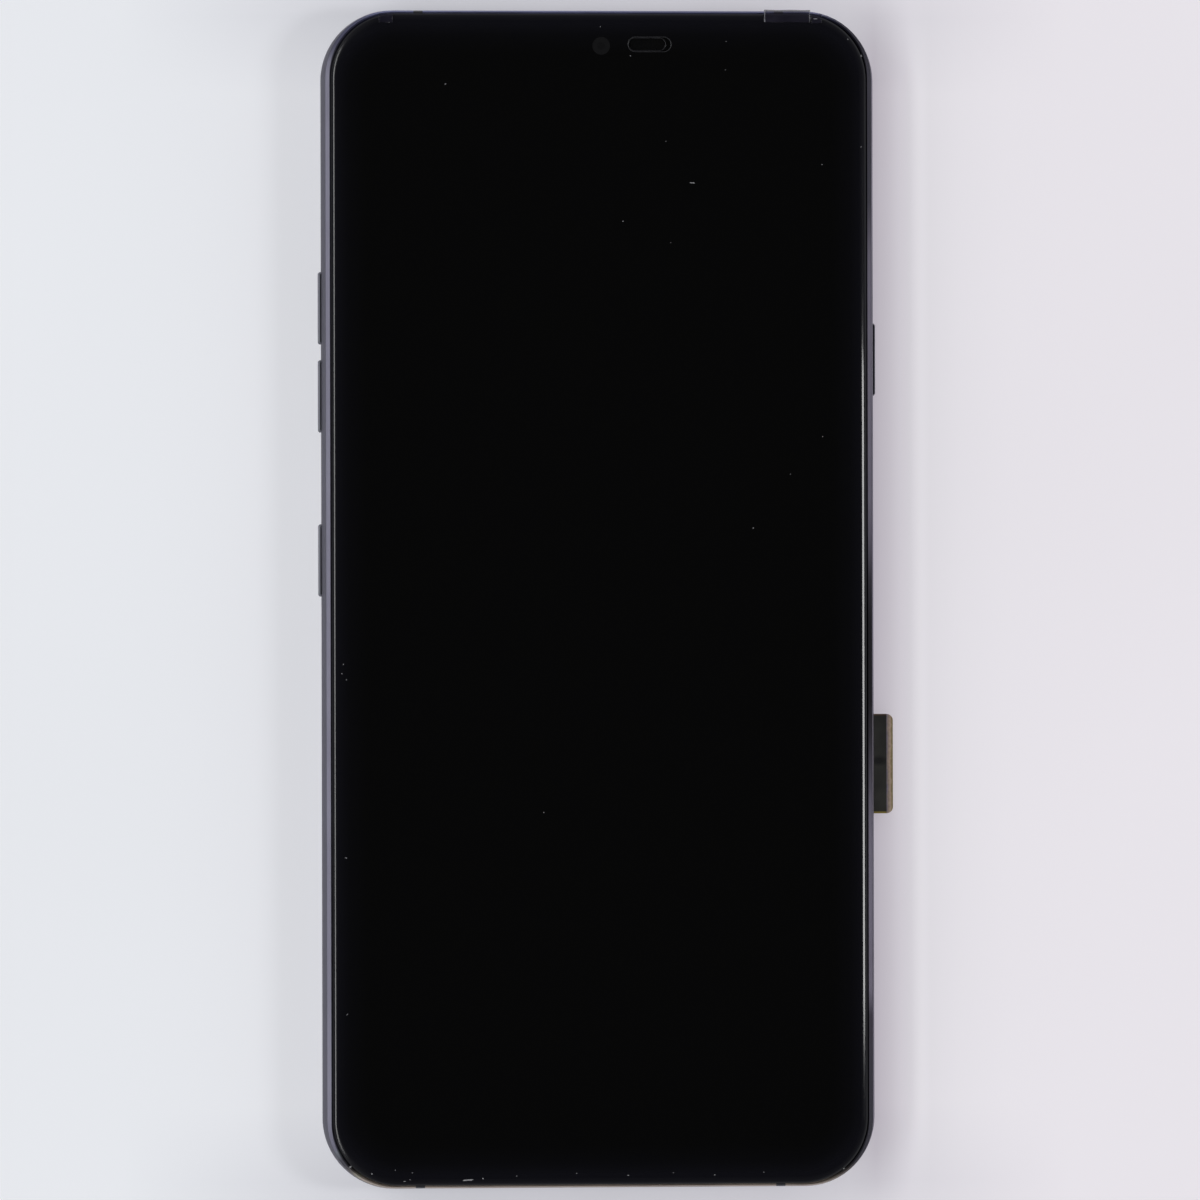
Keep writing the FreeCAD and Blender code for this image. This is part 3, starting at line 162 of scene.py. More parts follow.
def tones(tree, reading, *stops):
    """The colour for a reading, blended between rising stops. A stop is a place and its colour."""
    node = add(tree, "ShaderNodeValToRGB", {"Fac": reading})
    run = node.color_ramp.elements
    run[0].position = stops[0][0]
    run[1].position = stops[-1][0]
    for place, _ in stops[1:-1]:
        run.new(place)
    for stop, (_, colour) in zip(run, stops):
        stop.color = (*colour, 1)
    return node.outputs["Color"]


def blend(tree, kind, share, under, over):
    """Two colours in one: over is laid on under by that kind of blend, in that share."""
    values = {"Factor": share, "A": under, "B": over}
    mix = add(tree, "ShaderNodeMix", values, data_type="RGBA", blend_type=kind)
    return mix.outputs["Result"]


def finish_of(name, colour, roughness, fixed=None):
    """A material of one colour. What is the same all over it sits on the shader's own sockets."""
    material = bpy.data.materials.new(name)
    material.use_nodes = True
    tree = material.node_tree
    shader = tree.nodes["Principled BSDF"]
    shader.inputs["Base Color"].default_value = (*colour, 1.0)
    shader.inputs["Roughness"].default_value = roughness
    for socket, value in (fixed or {}).items():
        shader.inputs[socket].default_value = value
    return material, tree, shader


def piece_of(name, points, faces):
    """A piece from its points, in metres, and the faces between them."""
    mesh = bpy.data.meshes.new(name)
    mesh.from_pydata(points, [], faces)
    return placed(name, mesh)


def flat_piece(name, width, height):
    """A level square: its four corners at plus and minus half of the width."""
    corners = np.array([(-1, -1), (1, -1), (1, 1), (-1, 1)]) * width / 2
    return piece_of(name, [(x, y, height) for x, y in corners], [(0, 1, 2, 3)])


CARD_WHITE = (0.80, 0.805, 0.84)
PLAIN = (1.0, 1.0, 1.0)
card, card_tree, card_shader = finish_of("pale_card", CARD_WHITE, 0.85)
on_card, card_x, card_y, _ = place_on(card_tree)
off_x = maths(card_tree, "ABSOLUTE", card_x)
off_y = maths(card_tree, "ABSOLUTE", card_y)
card_tint = tones(
    card_tree, clouds(card_tree, on_card, 9.0, 2.0),
    (0.3, (0.785, 0.785, 0.78)), (0.7, (0.81, 0.81, 0.805)),
)
card_side = span(card_tree, card_x, -60 * MM, 60 * MM)
card_warm = tones(card_tree, card_side, (0.0, (0.975, 0.995, 1.04)), (1.0, (1.0, 0.965, 1.02)))
card_cast = blend(card_tree, "MULTIPLY", 1.0, card_tint, card_warm)
# Painted shadow: the card darkens beyond the object's top and bottom ends, fading sideways and
# outwards.
end_shadow_span = maths(
    card_tree, "MULTIPLY",
    span(card_tree, off_y, 66 * MM, 76 * MM), span(card_tree, off_x, 24 * MM, 62 * MM, 1.0, 0.0),
)
end_shadow_share = maths(
    card_tree, "MULTIPLY", end_shadow_span, span(card_tree, off_y, 76 * MM, 110 * MM, 1.0, 0.0),
)
card_shade = blend(card_tree, "MULTIPLY", end_shadow_share, card_cast, (0.80, 0.80, 0.82, 1))
# Painted shadow beside the right rail, from the rail outwards: the share of its 17 mm, the tone,
# and its green part.
RIGHT_SHADOW = (
    (0.035, 0.825, 0.96), (0.07, 0.855, 0.965), (0.11, 0.895, 0.97), (0.147, 0.945, 0.975),
    (0.188, 0.99, 0.98), (0.265, 1.04, 0.99), (0.33, 1.0, 1.0), (0.418, 0.955, 1.0),
    (0.65, 0.985, 1.0),
)
card_right_shadow = tones(
    card_tree, span(card_tree, card_x, 36.8 * MM, 53.8 * MM),
    (0.0, (0.785, 0.745, 0.785)),
    *((share, (tone, green * tone, tone)) for share, tone, green in RIGHT_SHADOW),
    (1.0, PLAIN),
)
right_shadow_share = maths(
    card_tree, "MULTIPLY",
    span(card_tree, card_x, 33 * MM, 36.5 * MM), span(card_tree, off_y, 68 * MM, 80 * MM, 1.0, 0.0),
)
card_tone = blend(card_tree, "MULTIPLY", right_shadow_share, card_shade, card_right_shadow)
card_tree.links.new(card_tone, card_shader.inputs["Base Color"])
# The open card beside the object is lifted for the lens alone, and far out it turns plain.
to_lens = add(card_tree, "ShaderNodeLightPath").outputs["Is Camera Ray"]
card_open = maths(
    card_tree, "MAXIMUM",
    maths(card_tree, "GREATER_THAN", off_x, 33 * MM),
    maths(card_tree, "GREATER_THAN", off_y, 73 * MM),
)
card_lift = maths(card_tree, "MULTIPLY", maths(card_tree, "MULTIPLY", to_lens, card_open), 0.27)
card_glow = add(card_tree, "ShaderNodeEmission", {"Color": card_tone, "Strength": 1.95})
card_mix = add(card_tree, "ShaderNodeMixShader", {
    "Fac": card_lift, 1: card_shader.outputs["BSDF"], 2: card_glow.outputs["Emission"],
})
card_far = vector_maths(card_tree, "LENGTH", on_card)
card_plain = span(card_tree, card_far, 0.2, 0.8, interpolation_type="SMOOTHSTEP")
card_white = add(card_tree, "ShaderNodeEmission", {"Color": (*CARD_WHITE, 1), "Strength": 1.0})
card_end = add(card_tree, "ShaderNodeMixShader", {
    "Fac": maths(card_tree, "MULTIPLY", card_plain, to_lens),
    1: card_mix.outputs["Shader"], 2: card_white.outputs["Emission"],
})
card_face = card_tree.nodes["Material Output"].inputs["Surface"]
card_tree.links.new(card_end.outputs["Shader"], card_face)
lowest = cad_box[0][2]
floor = flat_piece("floor", 14.0, lowest)
floor.data.materials.append(card)
canopy = flat_piece("lens_cloth", 1.5, distance * 1.1)
canopy.data.materials.append(finish_of("black_cloth", (0.004, 0.004, 0.004), 1.0)[0])

# Light: a room that is pale round about and dim overhead, with a lamp halfway up on each side.
# The long left one and the short right one draw the thin lines along the edges of the glass.
room = bpy.data.worlds.new("pale_room")
bpy.context.scene.world = room
room.use_nodes = True
room_tree = room.node_tree
room_light = room_tree.nodes["Background"]
room_light.inputs["Strength"].default_value = 1.0
sky_way = add(room_tree, "ShaderNodeTexCoord").outputs["Generated"]
sky_height = add(room_tree, "ShaderNodeSeparateXYZ", {"Vector": sky_way}).outputs["Z"]
sky_tone = tones(
    room_tree, sky_height,
    (0.36, (0.98, 0.985, 1.02)), (0.58, (0.22, 0.22, 0.235)), (0.82, (0.07, 0.07, 0.075)),
)
room_tree.links.new(sky_tone, room_light.inputs["Color"])
seen_white = add(room_tree, "ShaderNodeBackground", {"Color": (*CARD_WHITE, 1), "Strength": 1.0})
room_mix = add(room_tree, "ShaderNodeMixShader", {
    "Fac": add(room_tree, "ShaderNodeLightPath").outputs["Is Camera Ray"],
    1: room_light.outputs["Background"], 2: seen_white.outputs["Background"],
})
room_face = room_tree.nodes["World Output"].inputs["Surface"]
room_tree.links.new(room_mix.outputs["Shader"], room_face)
# Each lamp's place, its two sizes and its power in watts.
LAMPS = (
    ("left_lamp", (-0.92, 0.0, 0.94), 1.40, 0.15, 6.6),
    ("right_lamp", (0.95, -0.0235, 0.89), 0.17, 0.29, 3.2),
)
for title, spot, width, height, watts in LAMPS:
    lamp = bpy.data.lights.new(title, "AREA")
    lamp.shape = "RECTANGLE"
    lamp.size = width
    lamp.size_y = height
    lamp.energy = watts
    holder = placed(title, lamp)
    holder.location = spot
    holder.rotation_euler = (-Vector(spot)).to_track_quat("-Z", "Y").to_euler()


# Side rail: one ring of aluminium, milled, blasted and dyed a violet grey. The blasting leaves a
# fine grain, and handling leaves slightly smoother patches. Painted reflections lie on its colour:
# bands down the bevel, a warm lower end and a bluish upper end, light and dark stretches up the
# right bevel, a painted highlight along its outer edge and a dark spot at the lower left corner.
def group_of(name, ins, outs):
    """An empty shader group with number inputs and outputs of those names."""
    group = bpy.data.node_groups.new(name, "ShaderNodeTree")
    number = "NodeSocketFloat"
    for title, value in ins.items():
        socket = group.interface.new_socket(name=title, in_out="INPUT", socket_type=number)
        socket.default_value = value
    for title in outs:
        group.interface.new_socket(name=title, in_out="OUTPUT", socket_type=number)
    return group, group.nodes.new("NodeGroupInput"), group.nodes.new("NodeGroupOutput")


PATCHES_PER_METRE = 90.0
grain_group, grain_in, grain_out = group_of(
    "fine_grain", {"Grain": 12000.0, "Patch": PATCHES_PER_METRE}, ("Height", "Patches"),
)
grain_place = add(grain_group, "ShaderNodeTexCoord").outputs["Object"]
grain_noise = add(grain_group, "ShaderNodeTexNoise", {
    "Vector": grain_place, "Scale": grain_in.outputs["Grain"], "Detail": 3.0, "Roughness": 0.6,
})
patch_noise = add(grain_group, "ShaderNodeTexNoise", {
    "Vector": grain_place, "Scale": grain_in.outputs["Patch"], "Detail": 4.0, "Roughness": 0.55,
})
patch_range = span(grain_group, patch_noise.outputs["Fac"], 0.3, 0.7)
grain_group.links.new(grain_noise.outputs["Fac"], grain_out.inputs["Height"])
grain_group.links.new(patch_range, grain_out.inputs["Patches"])


def grained(name, dark, light, smooth, rough, grain, depth, patch=PATCHES_PER_METRE, fixed=None):
    """A finish between two colours and two roughnesses in soft patches, under a fine grain.
    Grain and patch are features per metre, and depth is the grain's height in metres."""
    material, tree, shader = finish_of(name, light, rough, fixed)
    values = {"Grain": grain, "Patch": patch}
    grains = add(tree, "ShaderNodeGroup", values, node_tree=grain_group)
    patches = grains.outputs["Patches"]
    relief = {"Strength": 1.0, "Distance": depth, "Height": grains.outputs["Height"]}
    for reading, socket in (
        (blend(tree, "MIX", patches, (*dark, 1), (*light, 1)), "Base Color"),
        (span(tree, patches, 0.0, 1.0, smooth, rough), "Roughness"),
        (add(tree, "ShaderNodeBump", relief).outputs["Normal"], "Normal"),
    ):
        tree.links.new(reading, shader.inputs[socket])
    return material, tree, shader


def colour_of(shader):
    """What gives the shader its colour so far."""
    return shader.inputs["Base Color"].links[0].from_socket


def away_from(tree, place, spot, scale):
    """How far a place is from a spot: the length of their difference times the scale."""
    apart = vector_maths(tree, "SUBTRACT", place, spot)
    return vector_maths(tree, "LENGTH", vector_maths(tree, "MULTIPLY", apart, scale))


def dress(material, *names):
    """Give the material to those nodes of the frame."""
    for title in names:
        frame["nodes"][title].material_slots[0].material = material


dyed, dyed_tree, dyed_shader = grained(
    "dyed_aluminium", (0.165, 0.16, 0.20), (0.20, 0.195, 0.24),
    smooth=0.36, rough=0.46, grain=9000.0, depth=4.0e-6, fixed={"Metallic": 1.0},
)
on_rail, rail_x, rail_y, rail_z = place_on(dyed_tree)
# Painted reflection and shade down the bevel: a darker line at its middle and a lighter upper
# slope.
bevel_reflection = tones(
    dyed_tree, span(dyed_tree, rail_z, -1.5 * MM, -0.45 * MM),
    (0.0, PLAIN), (0.36, PLAIN), (0.43, (0.72, 0.72, 0.72)), (0.50, (0.72, 0.72, 0.72)),
    (0.55, (1.35, 1.35, 1.35)), (1.0, (1.35, 1.35, 1.36)),
)
bevel_reflected = blend(dyed_tree, "MULTIPLY", 1.0, colour_of(dyed_shader), bevel_reflection)
rail_end = 77.0
rail_length = span(dyed_tree, rail_y, -rail_end * MM, rail_end * MM)
# Painted reflection near the top edge: the lower end warm and light, the upper end darker and
# bluish with a pale blue rim.
end_reflection = tones(
    dyed_tree, rail_length,
    (0.013, (2.5, 2.2, 1.5)), (0.024, PLAIN), (0.953, PLAIN),
    (0.967, (0.48, 0.48, 0.56)), (0.990, (0.45, 0.48, 0.70)), (0.9955, (1.1, 1.2, 1.65)),
)
upper_edge = span(dyed_tree, rail_z, -1.9 * MM, -0.9 * MM)
end_reflected = blend(dyed_tree, "MULTIPLY", upper_edge, bevel_reflected, end_reflection)
# Painted reflection up the right bevel: each place in millimetres from the middle, and how light it
# is there.
RIGHT_BEVEL_REFLECTION = (
    (-54.2, 0.24), (-51.0, 0.76), (-39.2, 0.75), (-28.7, 0.65), (-23.5, 0.34), (-18.3, 0.145),
    (-13.1, 0.055), (-2.7, 0.055), (2.5, 0.15), (7.7, 0.43), (12.9, 0.64), (38.9, 0.68),
    (44.1, 0.61), (48.0, 0.40),
)
right_reflection_stops = [
    ((up + rail_end) / (2 * rail_end), (tone, 0.95 * tone, 0.96 * tone)) for up, tone in RIGHT_BEVEL_REFLECTION
]
right_reflection = tones(
    dyed_tree, rail_length,
    (0.075, (0.21, 0.21, 0.21)), *right_reflection_stops, (0.835, (0.23, 0.23, 0.23)),
)
right_reflection_area = maths(
    dyed_tree, "MULTIPLY",
    span(dyed_tree, rail_x, 28.0 * MM, 32.0 * MM),
    maths(dyed_tree, "GREATER_THAN", rail_z, -1.15 * MM),
)
right_reflected = blend(dyed_tree, "MULTIPLY", right_reflection_area, end_reflected, right_reflection)
# Painted highlight: a light line along the right rail's outer edge, just below the bevel.
outer_highlight_band = maths(
    dyed_tree, "MULTIPLY",
    span(dyed_tree, rail_x, 35.60 * MM, 35.80 * MM), span(dyed_tree, rail_z, -2.3 * MM, -1.5 * MM),
)
outer_highlighted = blend(dyed_tree, "MULTIPLY", outer_highlight_band, right_reflected, (2.3, 2.2, 2.25, 1))
# Painted reflection at the lower left corner: a dark spot ringed by a pale green patch, near the
# top edge.
lower_left_reflection = (-33.0 * MM, -73.4 * MM, 0.0)
corner_reflection = tones(
    dyed_tree, away_from(dyed_tree, on_rail, lower_left_reflection, (400.0, 400.0, 0.0)),
    (0.0, (0.40, 0.40, 0.40)), (0.40, (0.48, 0.48, 0.46)), (0.62, (0.80, 0.84, 0.76)),
    (0.85, (1.0, 1.12, 0.98)), (1.0, PLAIN),
)
corner_reflected = blend(dyed_tree, "MULTIPLY", upper_edge, outer_highlighted, corner_reflection)
dyed_tree.links.new(corner_reflected, dyed_shader.inputs["Base Color"])
dress(dyed, "side_rail")

# Keys: the same aluminium, blasted finer, held from inside by the key brackets. Painted shade
# darkens the left ones' outer edge and the power key's rim, which lies in the shade of the glass.
key_finish, key_tree, key_shader = grained(
    "dyed_key", (0.215, 0.220, 0.25), (0.265, 0.270, 0.30),
    smooth=0.30, rough=0.38, grain=12000.0, depth=3.0e-6, fixed={"Metallic": 1.0},
)
_, key_x, _, key_z = place_on(key_tree)
key_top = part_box("power_key")[1][2]
key_rim = maths(key_tree, "GREATER_THAN", key_z, key_top - 0.12 * MM)
# Painted shade on the keys' top rims.
key_shade_tone = tones(
    key_tree, span(key_tree, key_x, -36.5 * MM, 36.5 * MM),
    (0.0012, (0.45, 0.45, 0.45)), (0.0026, PLAIN), (0.1, PLAIN), (0.9, (0.13, 0.12, 0.14)),
)
key_shade = blend(key_tree, "MULTIPLY", key_rim, colour_of(key_shader), key_shade_tone)
key_tree.links.new(key_shade, key_shader.inputs["Base Color"])
dress(key_finish, "volume_up_key", "volume_down_key", "assistant_key", "power_key")

# Antenna breaks: grey resin, moulded into the notches across both ends of the rail and milled
# flush with it. They let the radio waves through the metal ring.
resin = grained(
    "antenna_resin", (0.040, 0.040, 0.048), (0.052, 0.052, 0.062),
    smooth=0.42, rough=0.52, grain=8000.0, depth=3.0e-6,
)[0]
dress(resin, "antenna_breaks")

# Middle plate: die-cast magnesium under a dull grey conversion coat, cloudy where it dried. The
# nylon moulding holds it in the rail, and it carries the battery and the boards.
cast = grained(
    "coated_magnesium", (0.22, 0.22, 0.205), (0.34, 0.34, 0.32),
    smooth=0.42, rough=0.60, grain=5000.0, depth=1.2e-5, patch=60.0, fixed={"Metallic": 0.7},
)[0]
dress(cast, "mid_plate")

# Inner moulding: black glass-filled nylon, moulded between the rail and the plate in one shot,
# which locks the two together and leaves the screw bosses.
nylon = grained(
    "black_nylon", (0.010, 0.010, 0.011), (0.018, 0.018, 0.019),
    smooth=0.45, rough=0.62, grain=4000.0, depth=1.0e-5, patch=120.0,
)[0]
dress(nylon, "inner_moulding")

# Screw inserts: turned brass with a fine thread, pressed warm into the moulding's bosses, where
# the boards' brackets are screwed down.
brass = grained(
    "turned_brass", (0.62, 0.44, 0.18), (0.80, 0.60, 0.28),
    smooth=0.22, rough=0.34, grain=14000.0, depth=3.0e-6, patch=400.0, fixed={"Metallic": 1.0},
)[0]
dress(brass, "threaded_inserts")

# Backlight tray, key brackets and domes: thin stainless sheet, rolled bright and pressed. The
# tray is taped to the plate, and the brackets sit behind the rail's wall.
sheet_steel = grained(
    "rolled_steel", (0.50, 0.50, 0.50), (0.62, 0.62, 0.61),
    smooth=0.24, rough=0.36, grain=16000.0, depth=2.0e-6, patch=150.0, fixed={"Metallic": 1.0},
)[0]
dress(
    sheet_steel, "backlight_tray", "left_key_bracket", "right_key_bracket",
    "left_key_switches", "right_key_switches",
)

# Foams, boot and meshes: dead black open-cell foam and silicone rubber, cut to shape and glued,
# and woven acoustic mesh behind the sound holes.
foam = grained(
    "black_foam", (0.008, 0.008, 0.008), (0.016, 0.016, 0.017),
    smooth=0.85, rough=0.95, grain=3500.0, depth=4.0e-5,
)[0]
dress(foam, "display_foam", "glass_adhesive", "earpiece_gasket", "camera_gasket", "sensor_boot")
woven, woven_tree, woven_shader = finish_of(
    "acoustic_mesh", (0.0012, 0.0012, 0.0013), 0.85, {"Specular IOR Level": 0.1},
)
strands = {"Vector": place_on(woven_tree)[0], "Scale": 1600.0, "Distortion": 0.0}
warp, weft = (
    add(woven_tree, "ShaderNodeTexWave", strands, wave_type="BANDS", bands_direction=way)
    for way in ("X", "Y")
)
weave = add(woven_tree, "ShaderNodeBump", {
    "Strength": 1.0, "Distance": 3.0e-5,
    "Height": maths(woven_tree, "ADD", warp.outputs["Fac"], weft.outputs["Fac"]),
})
woven_tree.links.new(weave.outputs["Normal"], woven_shader.inputs["Normal"])
dress(woven, "earpiece_mesh", "speaker_mesh", "microphone_meshes")

# Graphite sheet: pressed grey flakes under a clear skin, stuck to the plate. It spreads the heat
# of the panel.
flakes = grained(
    "pressed_graphite", (0.030, 0.030, 0.032), (0.060, 0.060, 0.064),
    smooth=0.35, rough=0.50, grain=2500.0, depth=6.0e-6, patch=300.0, fixed={"Metallic": 0.4},
)[0]
dress(flakes, "graphite_sheet")

# Display stack: two panes of liquid-crystal glass between polarisers, glued to the front glass
# with clear adhesive, over the backlight's films, its light guide and its strip of lamps. The
# driver chip is bonded to the panel's lower ledge.
pane = grained(
    "panel_pane", (0.012, 0.012, 0.014), (0.018, 0.018, 0.022),
    smooth=0.05, rough=0.10, grain=800.0, depth=1.0e-7, fixed={"IOR": 1.52},
)[0]
dress(pane, "colour_filter_glass", "tft_glass")
tinted = grained(
    "tinted_film", (0.014, 0.013, 0.018), (0.022, 0.020, 0.028),
    smooth=0.12, rough=0.20, grain=1500.0, depth=2.0e-7,
)[0]
dress(tinted, "front_polariser", "rear_polariser")
glue = grained(
    "clear_glue", (0.55, 0.55, 0.53), (0.66, 0.66, 0.64),
    smooth=0.10, rough=0.22, grain=1200.0, depth=2.0e-6, fixed={"IOR": 1.47},
)[0]
dress(glue, "optical_adhesive")
milky = grained(
    "white_film", (0.74, 0.74, 0.73), (0.82, 0.82, 0.81),
    smooth=0.28, rough=0.42, grain=3000.0, depth=3.0e-6,
)[0]
dress(milky, "prism_film", "diffuser_film", "light_guide", "reflector_film", "backlight_frame")
phosphor = grained(
    "lamp_phosphor", (0.72, 0.62, 0.16), (0.86, 0.80, 0.42),
    smooth=0.40, rough=0.55, grain=6000.0, depth=5.0e-6, patch=700.0,
)[0]
dress(phosphor, "led_strip")
epoxy = grained(
    "chip_epoxy", (0.012, 0.012, 0.013), (0.020, 0.020, 0.022),
    smooth=0.35, rough=0.50, grain=9000.0, depth=2.0e-6,
)[0]
dress(epoxy, "driver_chip")

# Connectors and contacts: black liquid-crystal polymer housings, soldered to their circuits, with
# gold-plated springs. The same gold covers the ground pads on the plate.
housing = grained(
    "connector_polymer", (0.014, 0.014, 0.015), (0.026, 0.026, 0.027),
    smooth=0.42, rough=0.55, grain=11000.0, depth=3.0e-6,
)[0]
dress(housing, "display_connector", "left_key_connector", "right_key_connector")
gold = grained(
    "plated_gold", (0.80, 0.55, 0.20), (0.95, 0.70, 0.30),
    smooth=0.20, rough=0.32, grain=20000.0, depth=1.0e-6, patch=500.0, fixed={"Metallic": 1.0},
)[0]
dress(gold, "connector_contacts", "ground_pads")

# Battery adhesive: two strips of white stretch-release tape on the plate's rear face, slightly
# stringy along their length.
tape = grained(
    "stretch_tape", (0.70, 0.70, 0.68), (0.80, 0.80, 0.78),
    smooth=0.38, rough=0.52, grain=1800.0, depth=1.0e-5, patch=110.0,
)[0]
dress(tape, "battery_adhesive")

# Flexible circuits: amber polyimide over copper, under a thin dark cover film. The display's one
# is bonded to the panel's ledge, and a dark stiffener is glued onto its tail.
circuit, circuit_tree, circuit_shader = grained(
    "flex_polyimide", (0.060, 0.036, 0.022), (0.105, 0.066, 0.040),
    smooth=0.30, rough=0.44, grain=3000.0, depth=4.0e-6, patch=260.0,
    fixed={"Coat Weight": 0.25, "Coat Roughness": 0.2},
)
dress(circuit, "display_flex", "left_key_flex", "right_key_flex")
stiff, stiff_tree, stiff_shader = grained(
    "stiffener_sheet", (0.018, 0.018, 0.015), (0.042, 0.042, 0.034),
    smooth=0.45, rough=0.62, grain=5000.0, depth=5.0e-6, patch=300.0,
)
dress(stiff, "flex_stiffener")

# Flex tail: its end shows beside the rail. The dark stiffener stops short of the edge, where the
# bare polyimide shows a band of painted violet sheen, then pale tan horn, with a dark brown line
# along its punched edge.
on_flex, flex_x, _, _ = place_on(circuit_tree)
tail_across = span(circuit_tree, flex_x, 37.9 * MM, 38.9 * MM)
tail_waver = span(circuit_tree, clouds(circuit_tree, on_flex, 900.0, 2.0), 0.3, 0.7, -0.10, 0.10)
# Painted sheen: the violet band across the bare polyimide.
tail_colour_and_sheen = tones(
    circuit_tree, maths(circuit_tree, "ADD", tail_across, tail_waver),
    (0.0, (0.085, 0.055, 0.038)), (0.14, (0.30, 0.27, 0.36)), (0.24, (0.33, 0.28, 0.34)),
    (0.36, (0.42, 0.33, 0.27)), (0.62, (0.66, 0.50, 0.38)), (0.76, (0.62, 0.47, 0.29)),
    (0.86, (0.38, 0.29, 0.14)), (1.0, (0.45, 0.38, 0.22)),
)
tail_cloud = clouds(circuit_tree, on_flex, 2600.0, 3.0)
tail_mottle = blend(circuit_tree, "OVERLAY", 0.35, tail_colour_and_sheen, tail_cloud)
tail_zone = maths(circuit_tree, "GREATER_THAN", flex_x, 37.8 * MM)
tail_shade = blend(circuit_tree, "MIX", tail_zone, colour_of(circuit_shader), tail_mottle)
circuit_tree.links.new(tail_shade, circuit_shader.inputs["Base Color"])
on_stiff, _, stiff_y, _ = place_on(stiff_tree)
stiff_low, stiff_high = (corner[1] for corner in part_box("flex_stiffener"))
stiff_ends = tones(
    stiff_tree, span(stiff_tree, stiff_y, stiff_low, stiff_high),
    (0.012, (12.0, 9.0, 2.0)), (0.024, PLAIN), (0.980, PLAIN), (0.992, (4.0, 2.2, 1.4)),
)
stiff_trim = blend(stiff_tree, "MULTIPLY", 1.0, colour_of(stiff_shader), stiff_ends)
smudge_spot = (37.0 * MM, -21.2 * MM, 0.0)
smudge_far = away_from(stiff_tree, on_stiff, smudge_spot, (700.0, 1300.0, 0.0))
smudge_fade = span(stiff_tree, smudge_far, 0.35, 1.0, 0.12, 1.0)
smudged = blend(stiff_tree, "MULTIPLY", 1.0, stiff_trim, smudge_fade)
stiff_tree.links.new(smudged, stiff_shader.inputs["Base Color"])


# Front glass: one chemically hardened pane with a rounded edge, black behind. Its long curve is
# rebuilt finely and smooth, faint smears change its polish, and a paler disc marks the camera.
def swept(name, points, loop_rows=False, loop_columns=False, capped=False):
    """Smooth faces between neighbours of a rows by columns grid of points, in metres. A cap is one
    face over the first or the last row."""
    rows, columns = points.shape[:2]
    down = np.arange(rows if loop_rows else rows - 1)[:, None]
    along = np.arange(columns if loop_columns else columns - 1)[None, :]
    down_next = (down + 1) % rows
    along_next = (along + 1) % columns
    corners = (
        down * columns + along, down * columns + along_next,
        down_next * columns + along_next, down_next * columns + along,
    )
    faces = np.stack(corners, axis=-1).reshape(-1, 4).tolist()
    first_row = list(range(columns))
    last_row = list(range((rows - 1) * columns, rows * columns))
    caps = [first_row[::-1], last_row] if capped else []
    piece = piece_of(name, points.reshape(-1, 3), faces + caps)
    smooth = np.arange(len(faces + caps)) < len(faces)
    piece.data.polygons.foreach_set("use_smooth", smooth)
    return piece


def stadium(centre_x, centre_y, half_length, half_breadth, count=72):
    """Points round a slot: two straight sides and two half circles, evenly spaced by angle."""
    angle = np.linspace(0, 2 * np.pi, count, endpoint=False)
    shift = np.where(np.cos(angle) >= 0, 1, -1) * (half_length - half_breadth)
    x = centre_x + shift + half_breadth * np.cos(angle)
    return np.stack((x, centre_y + half_breadth * np.sin(angle)), -1)


pane_black, pane_tree, pane_shader = finish_of(
    "black_backed_glass", (0.0026, 0.0026, 0.0029), 0.035, {"IOR": 1.5, "Specular IOR Level": 0.25},
)
on_glass, glass_x, glass_y, _ = place_on(pane_tree)
smears = add(pane_tree, "ShaderNodeGroup", {"Grain": 600.0, "Patch": 42.0}, node_tree=grain_group)
polish = span(pane_tree, smears.outputs["Patches"], 0.0, 1.0, 0.03, 0.075)
inner_corner = (25.75 * MM, 66.3 * MM, 1.0)
rim_over = vector_maths(
    pane_tree, "SUBTRACT", vector_maths(pane_tree, "ABSOLUTE", on_glass), inner_corner,
)
rim_ahead = vector_maths(pane_tree, "MAXIMUM", rim_over, (0.0, 0.0, 0.0))
rim_far = vector_maths(pane_tree, "LENGTH", rim_ahead)
left_rim = maths(
    pane_tree, "MULTIPLY",
    span(pane_tree, glass_x, -30.5 * MM, -28.5 * MM, 1.0, 0.0),
    span(pane_tree, rim_far, 8.0 * MM, 8.6 * MM),
)
corner_dull = span(
    pane_tree, maths(pane_tree, "ABSOLUTE", glass_y), 67.3 * MM, 73.5 * MM, 0.0, 0.20,
)
corner_smear = maths(pane_tree, "MULTIPLY", corner_dull, left_rim)
corner_polish = maths(pane_tree, "ADD", polish, corner_smear)
pane_tree.links.new(corner_polish, pane_shader.inputs["Roughness"])
rim_tone = tones(
    pane_tree, span(pane_tree, rim_far, 4.6 * MM, 8.5 * MM),
    (0.0, (0.0032, 0.0032, 0.0032)), (0.6, (0.0042, 0.0042, 0.0050)),
    (1.0, (0.0064, 0.0064, 0.0088)),
)
camera_spot = (0.3 * MM, 71.9 * MM, 0.0)
camera_disc = 1.5 * MM
lens_rings = tones(
    pane_tree, away_from(pane_tree, on_glass, camera_spot, (1 / camera_disc, 1 / camera_disc, 0.0)),
    (0.0, (0.0085, 0.0085, 0.009)), (0.30, (0.0085, 0.0085, 0.0089)),
    (0.36, (0.0105, 0.0105, 0.0110)), (0.74, (0.0105, 0.0105, 0.0110)),
    (0.79, (0.0028, 0.0028, 0.0029)), (1.0, (0.0026, 0.0026, 0.0029)),
)
pane_tone = blend(pane_tree, "LIGHTEN", 1.0, rim_tone, lens_rings)
pane_tree.links.new(pane_tone, pane_shader.inputs["Base Color"])
